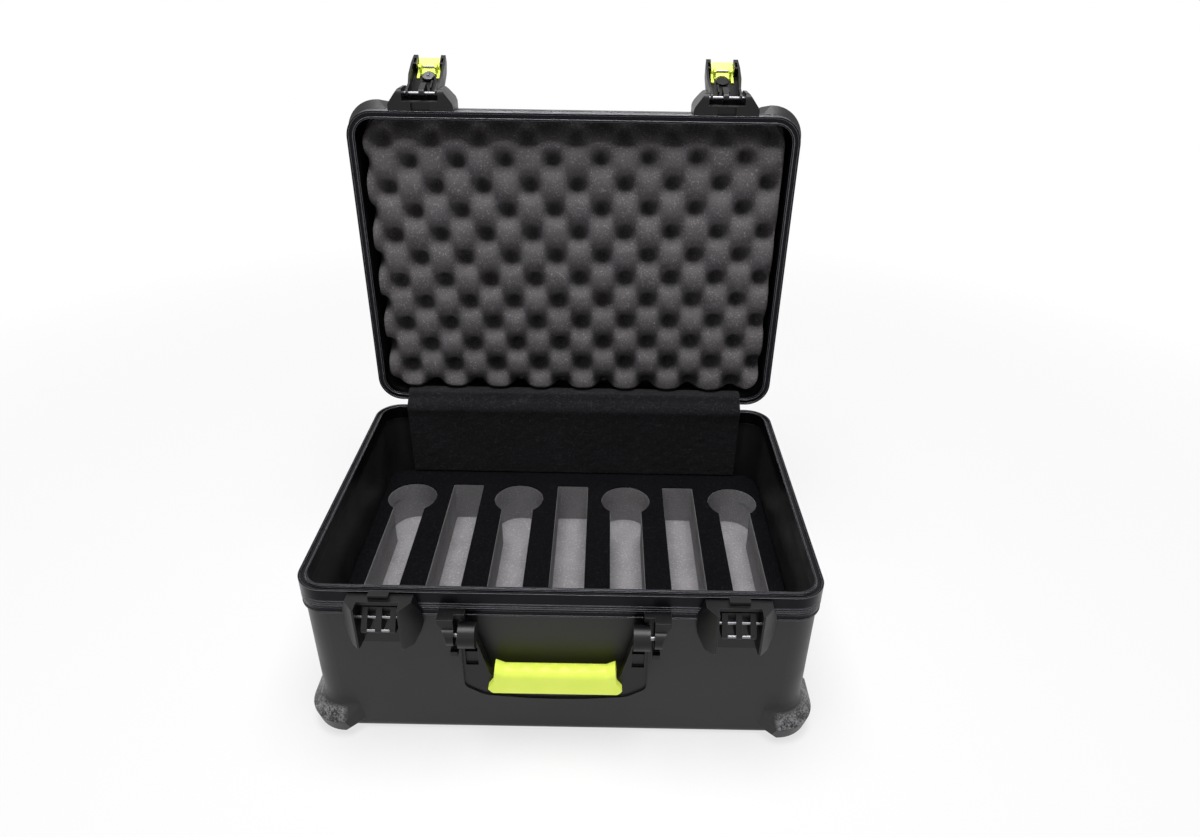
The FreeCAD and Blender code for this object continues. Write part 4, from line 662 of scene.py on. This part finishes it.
class CASE_OT_insert(bpy.types.Operator):
    """Foam insert in the base: felt skin, two cut layers and the pad under them"""
    bl_idname = "case.insert"
    bl_label = "Foam insert"

    def execute(self, context):
        insert = context.scene.case_insert
        layers = (("insert_skin", "foam_top_skin", SKIN_LOW.z, SKIN_HIGH.z, 0.0, "foam_black",
                   "foam_black", 0.0006),
                  ("insert_upper", "foam_upper_layer", UPPER_LOW.z, UPPER_HIGH.z, 0.0004,
                   "foam_grey", "foam_wall", 0.0009),
                  ("insert_lower", "foam_lower_layer", LOWER_LOW.z, LOWER_HIGH.z, -0.0002,
                   "foam_grey", "foam_wall", 0.0012))
        for name, stands_for, low, high, wider, slot, finish, edge in layers:
            top = self.cut_sheet(insert, high, wider)
            piece = new_piece(name, *top)
            clean_mesh(piece, 1e-5)
            if piece.data.polygons[0].normal.z < 0:
                piece.data.flip_normals()
            thick = piece.modifiers.new("Thickness", "SOLIDIFY")
            thick.thickness = high - low
            thick.offset = -1
            apply_modifiers(piece)
            soften_edges(piece, edge)
            dress(piece, slot, finish)
            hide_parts(stands_for)
            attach(piece, "base")
        self.pad(insert)
        return {"FINISHED"}

    def cut_sheet(self, insert, height, wider):
        """Flat sheet with the pockets cut out: strips between the pockets, each row reaching from
        one pocket's edge to the next, and a band beyond the pockets at either end."""
        across, band_steps, head_steps, middle_steps = 8, 8, 34, 20
        swing = np.radians(np.linspace(-50, 90, head_steps))
        head_rows = insert.head_back + insert.head_radius * np.sin(swing)
        mid_rows = np.linspace(-head_rows[0], head_rows[0], middle_steps)[1:-1]
        rows = np.concatenate([-head_rows[::-1], mid_rows, head_rows])
        middle = (insert.pocket_count - 1) / 2
        centres = (np.arange(insert.pocket_count) - middle) * insert.pocket_pitch
        reach = np.stack([self.pocket_reach(insert, rows, 1 if index % 2 == 0 else -1)
                          for index in range(insert.pocket_count)])
        reach = np.maximum(reach - wider, 0) * (reach > 0)
        edge = np.full_like(rows, insert.half_width)
        lefts = np.concatenate([-edge[None], centres[:, None] + reach])
        rights = np.concatenate([centres[:, None] - reach, edge[None]])
        share = np.linspace(0, 1, across + 1)
        strips = lefts[..., None] + (rights - lefts)[..., None] * share
        points, faces, count = [], [], 0
        for strip in strips:
            plan = np.stack(np.broadcast_arrays(strip, rows[:, None], height), -1)
            points.append(plan.reshape(-1, 3))
            faces.append(grid_faces(*strip.shape, first=count))
            count += strip.size
        for end, row in ((1, -1), (-1, 0)):
            pieces = [strips[0, row]]
            for before, after in zip(strips[:-1], strips[1:]):
                gap = np.linspace(before[row, -1], after[row, 0], across + 1)
                pieces += [gap[1:-1], after[row]]
            line = np.concatenate(pieces)
            outward = insert.pocket_end + (insert.half_depth - insert.pocket_end) * np.sin(
                np.linspace(0, math.pi / 2, band_steps))
            wide = half_width_at(outward, insert.half_width, insert.half_depth, insert.corner)
            x = line[None, :] * wide[:, None] / insert.half_width
            plan = np.stack(np.broadcast_arrays(x, end * outward[:, None], height), -1)
            points.append(plan.reshape(-1, 3))
            faces.append(grid_faces(*x.shape, first=count))
            count += x.size
        faces = np.concatenate(faces)
        return np.concatenate(points), faces.tolist()

    def pocket_reach(self, insert, rows, head):
        """Half width of a pocket at each row: the slot's, its square end rounded at the corners,
        and the circle's at the end where the head is."""
        toward = rows * head
        slot = np.full_like(rows, insert.pocket_half)
        left = insert.pocket_end + toward
        corner = insert.slot_corner
        into = np.clip(corner - left, 0, corner)
        slot = slot - corner + np.sqrt(np.maximum(corner ** 2 - into ** 2, 0))
        from_centre = toward - insert.head_back
        circle = np.sqrt(np.maximum(insert.head_radius ** 2 - from_centre ** 2, 0))
        return np.where(from_centre > 0, circle, np.maximum(slot, circle))

    def pad(self, insert):
        """Uncut pad under the layers: a rounded plan with softened edges."""
        rows, columns = 24, 30
        along = np.sin(np.linspace(-math.pi / 2, math.pi / 2, rows)) * insert.half_depth
        wide = half_width_at(along, insert.half_width, insert.half_depth, insert.corner)
        x = np.linspace(-1, 1, columns)[None, :] * wide[:, None]
        top = np.stack(np.broadcast_arrays(x, along[:, None], PAD_HIGH.z), -1).copy()
        piece = new_piece("insert_pad", top, grid_faces(rows, columns))
        clean_mesh(piece)
        if piece.data.polygons[0].normal.z < 0:
            piece.data.flip_normals()
        thick = piece.modifiers.new("Thickness", "SOLIDIFY")
        thick.thickness = PAD_HIGH.z - PAD_LOW.z
        thick.offset = -1
        apply_modifiers(piece)
        soften_edges(piece, 0.005)
        dress(piece, "foam_grey", "foam_wall")
        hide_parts("foam_base_pad")
        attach(piece, "base")


def soften_edges(piece, width, segments=2):
    """Round a piece's sharp edges."""
    edge = piece.modifiers.new("Soft edges", "BEVEL")
    edge.width = width
    edge.segments = segments
    edge.limit_method = "ANGLE"
    edge.angle_limit = math.radians(50)
    apply_modifiers(piece)


class CASE_OT_hinge_fleece(bpy.types.Operator):
    """Fleece strip from behind the lid foam, over the hinge line, down to the insert"""
    bl_idname = "case.hinge_fleece"
    bl_label = "Hinge fleece"

    def execute(self, context):
        fleece = context.scene.case_fleece
        # The strip's back as (y, z), from behind the lid foam down to the insert
        back = np.array([(0.2036, 0.2140), (0.1950, 0.2141), (0.1863, 0.2136), (0.1845, 0.2095),
                         (0.1818, 0.2058), (0.1768, 0.2008), (0.1741, 0.1965), (0.1738, 0.1880),
                         (0.1742, 0.1720), (0.1746, 0.1460), (0.1748, 0.1200), (0.1750, 0.0972)])
        line, run = smooth_line(back, count=150)
        toward = np.gradient(line, axis=0)
        toward /= np.linalg.norm(toward, axis=1, keepdims=True)
        outward = np.stack([toward[:, 1], -toward[:, 0]], -1)
        x = np.linspace(-fleece.half_width, fleece.half_width, 260)
        rows, columns = len(line), len(x)
        plan = np.stack(np.broadcast_arrays(x[None, :], line[:, None, 0], line[:, None, 1]), -1)
        plan = plan.copy()
        out = np.stack([np.zeros(rows), outward[:, 0], outward[:, 1]], -1)[:, None, :]
        flat = np.stack(np.broadcast_arrays(x[None, :], run[:, None], 0.0), -1)
        pile = fleece.loop * (0.55 * ripple(flat, 0.012, 5) + 0.45 * ripple(flat, 0.005, 6))
        gap_run, gap_reach = 0.033, 0.010
        belly = fleece.sag * np.exp(-((run - gap_run) / gap_reach) ** 2)[:, None]
        belly = belly * (1 + 0.25 * ripple(flat, 0.11, 8))
        front = plan + out * (fleece.thickness + pile + belly)[..., None]
        behind = plan + out * (0.6 * belly)[..., None]
        points = np.concatenate([front.reshape(-1, 3), behind.reshape(-1, 3)])
        number = np.arange(rows * columns).reshape(rows, columns)
        border = np.concatenate([number[0, :-1], number[:-1, -1], number[-1, :0:-1],
                                 number[:0:-1, 0]])
        after = np.roll(border, -1)
        far = rows * columns
        rim = np.stack([border, after, after + far, border + far], -1)
        faces = [*grid_faces(rows, columns).tolist(),
                 *grid_faces(rows, columns, far)[:, ::-1].tolist(), *rim.tolist()]
        uv = np.concatenate([flat[..., :2].reshape(-1, 2)] * 2)
        piece = new_piece("hinge_fleece", points, faces, uv)
        clean_mesh(piece)
        shade_smooth(piece)
        dress(piece, "fleece")
        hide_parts("hinge_fabric")
        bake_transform(piece)
        return {"FINISHED"}


def smooth_line(corners, count):
    """Points evenly along a line that rounds the given corners, and each point's distance along it.
    Each corner is replaced by the running mean of the finely divided straight runs."""
    step = np.linalg.norm(np.diff(corners, axis=0), axis=1)
    run = np.concatenate([[0], np.cumsum(step)])
    fine_count, width = 600, 17
    fine = np.linspace(0, run[-1], fine_count)
    line = np.stack([np.interp(fine, run, corners[:, axis]) for axis in range(2)], -1)
    padded = np.concatenate([np.repeat(line[:1], width, 0), line, np.repeat(line[-1:], width, 0)])
    window = np.hanning(2 * width + 1)
    window /= window.sum()
    line = np.stack([np.convolve(padded[:, axis], window, "valid") for axis in range(2)], -1)
    run = np.concatenate([[0], np.cumsum(np.linalg.norm(np.diff(line, axis=0), axis=1))])
    even = np.linspace(0, run[-1], count)
    return np.stack([np.interp(even, run, line[:, axis]) for axis in range(2)], -1), even


class CASE_OT_studio(bpy.types.Operator):
    """Camera, pale floor, soft lamps and white surroundings"""
    bl_idname = "case.studio"
    bl_label = "Studio"

    def execute(self, context):
        stage = context.scene.case_stage
        self.camera(context, stage)
        self.floor(context, stage)
        self.world(context, stage)
        self.lamp("Top light", stage.top_light, (0.0, -0.15, 2.1), (0.0, 0.0, 0.2), 1.2)
        self.lamp("Front light", stage.front_light, (-0.5, -2.0, 1.5), (0.0, 0.0, 0.2), 1.8)
        context.scene.view_settings.view_transform = "Standard"
        return {"FINISHED"}

    def camera(self, context, stage):
        """Look along +Y, then tilt down by pitch, turn by yaw, and roll about the line of sight."""
        data = bpy.data.cameras.new("Camera")
        data.sensor_width = 36
        data.lens = stage.lens
        data.clip_start = 0.02
        camera = bpy.data.objects.new("Camera", data)
        turn = (Matrix.Rotation(-stage.yaw, 4, "Z")
                @ Matrix.Rotation(math.pi / 2 - stage.pitch, 4, "X")
                @ Matrix.Rotation(stage.roll, 4, "Z"))
        camera.matrix_world = Matrix.Translation(stage.camera_place) @ turn
        context.scene.collection.objects.link(camera)
        context.scene.camera = camera

    def floor(self, context, stage):
        """Round floor in rings; the camera sees it near white, with the shadow kept."""
        angle = np.linspace(0, 2 * math.pi, 97)[:-1]
        radii = np.array([0.0005, 0.6, 1.5, 4.0, 12.0, 40.0])
        points = np.stack(np.broadcast_arrays(radii[:, None] * np.cos(angle),
                                              radii[:, None] * np.sin(angle), 0.0), -1)
        ring = np.arange(radii.size * angle.size).reshape(radii.size, -1)
        after = np.roll(ring, -1, axis=1)
        faces = np.stack([ring[:-1], ring[1:], after[1:], after[:-1]], -1).reshape(-1, 4)
        floor = new_piece("floor", points, [*faces.tolist(), ring[0].tolist()])
        material, tree, shader = start_material("Pale floor")
        shader.inputs["Roughness"].default_value = 0.9
        place = node(tree, "ShaderNodeTexCoord").outputs["Object"]
        tint = blend_colour(tree, noise(tree, place, 3.0), shade(stage.floor, 0.98), stage.floor)
        tree.links.new(tint, shader.inputs["Base Color"])
        white = node(tree, "ShaderNodeEmission", {"Color": (1, 1, 1, 1), "Strength": 1.0})
        rays = node(tree, "ShaderNodeLightPath")
        seen = maths(tree, "MAXIMUM", rays.outputs["Is Camera Ray"],
                     maths(tree, "MAXIMUM", rays.outputs["Is Glossy Ray"],
                           rays.outputs["Is Transmission Ray"]))
        away = node(tree, "ShaderNodeVectorMath", {0: place}, operation="LENGTH").outputs["Value"]
        far = remap(tree, away, 0.5, 1.6, 0.72, 1.0)
        mix = node(tree, "ShaderNodeMixShader", {0: maths(tree, "MULTIPLY", seen, far),
                                                 1: shader.outputs[0], 2: white.outputs[0]})
        output = next(item for item in tree.nodes if item.type == "OUTPUT_MATERIAL")
        tree.links.new(mix.outputs[0], output.inputs[0])
        floor.data.materials.append(material)

    def world(self, context, stage):
        """White surroundings: full for the camera and in reflections, weaker as light."""
        world = bpy.data.worlds.new("Studio")
        world.use_nodes = True
        tree = world.node_tree
        back = next(item for item in tree.nodes if item.type == "BACKGROUND")
        back.inputs["Color"].default_value = (1, 1, 1, 1)
        rays = node(tree, "ShaderNodeLightPath")
        seen = maths(tree, "MAXIMUM", rays.outputs["Is Camera Ray"],
                     maths(tree, "MAXIMUM", rays.outputs["Is Glossy Ray"],
                           rays.outputs["Is Transmission Ray"]))
        tree.links.new(remap(tree, seen, 0.0, 1.0, stage.ambient, 1.0), back.inputs["Strength"])
        context.scene.world = world

    def lamp(self, name, power, place, target, size):
        """Square area lamp at place, facing target."""
        data = bpy.data.lights.new(name, "AREA")
        data.energy = power
        data.shape = "SQUARE"
        data.size = size
        lamp = bpy.data.objects.new(name, data)
        lamp.location = place
        toward = Vector(target) - Vector(place)
        lamp.rotation_euler = toward.to_track_quat("-Z", "Y").to_euler()
        bpy.context.scene.collection.objects.link(lamp)


class CASE_PT_panel(bpy.types.Panel):
    """Settings and steps of the carry case"""
    bl_idname = "CASE_PT_panel"
    bl_label = "Carry Case"
    bl_space_type = "VIEW_3D"
    bl_region_type = "UI"
    bl_category = "Carry Case"

    def draw(self, context):
        for group, step in STEPS:
            box = self.layout.box()
            box.operator(step)
            if group:
                settings = getattr(context.scene, group)
                for name in settings.__annotations__:
                    box.prop(settings, name)


STEPS = (("case_colours", "case.finishes"), ("case_lid_foam", "case.lid_foam"),
         ("case_insert", "case.insert"), ("case_fleece", "case.hinge_fleece"),
         ("case_stage", "case.studio"))
SETTINGS = {"case_colours": CaseColourSettings, "case_lid_foam": LidFoamSettings,
            "case_insert": InsertSettings, "case_fleece": FleeceSettings,
            "case_stage": StageSettings}
OPERATORS = (CASE_OT_finishes, CASE_OT_lid_foam, CASE_OT_insert, CASE_OT_hinge_fleece,
             CASE_OT_studio)


def register():
    for name, settings in SETTINGS.items():
        bpy.utils.register_class(settings)
        setattr(bpy.types.Scene, name, bpy.props.PointerProperty(type=settings))
    for kind in (*OPERATORS, CASE_PT_panel):
        bpy.utils.register_class(kind)


def unregister():
    for kind in (CASE_PT_panel, *reversed(OPERATORS)):
        bpy.utils.unregister_class(kind)
    for name, settings in SETTINGS.items():
        delattr(bpy.types.Scene, name)
        bpy.utils.unregister_class(settings)


def main():
    register()
    for _, step in STEPS:
        family, action = step.split(".")
        getattr(getattr(bpy.ops, family), action)()


if __name__ == "__main__":
    main()
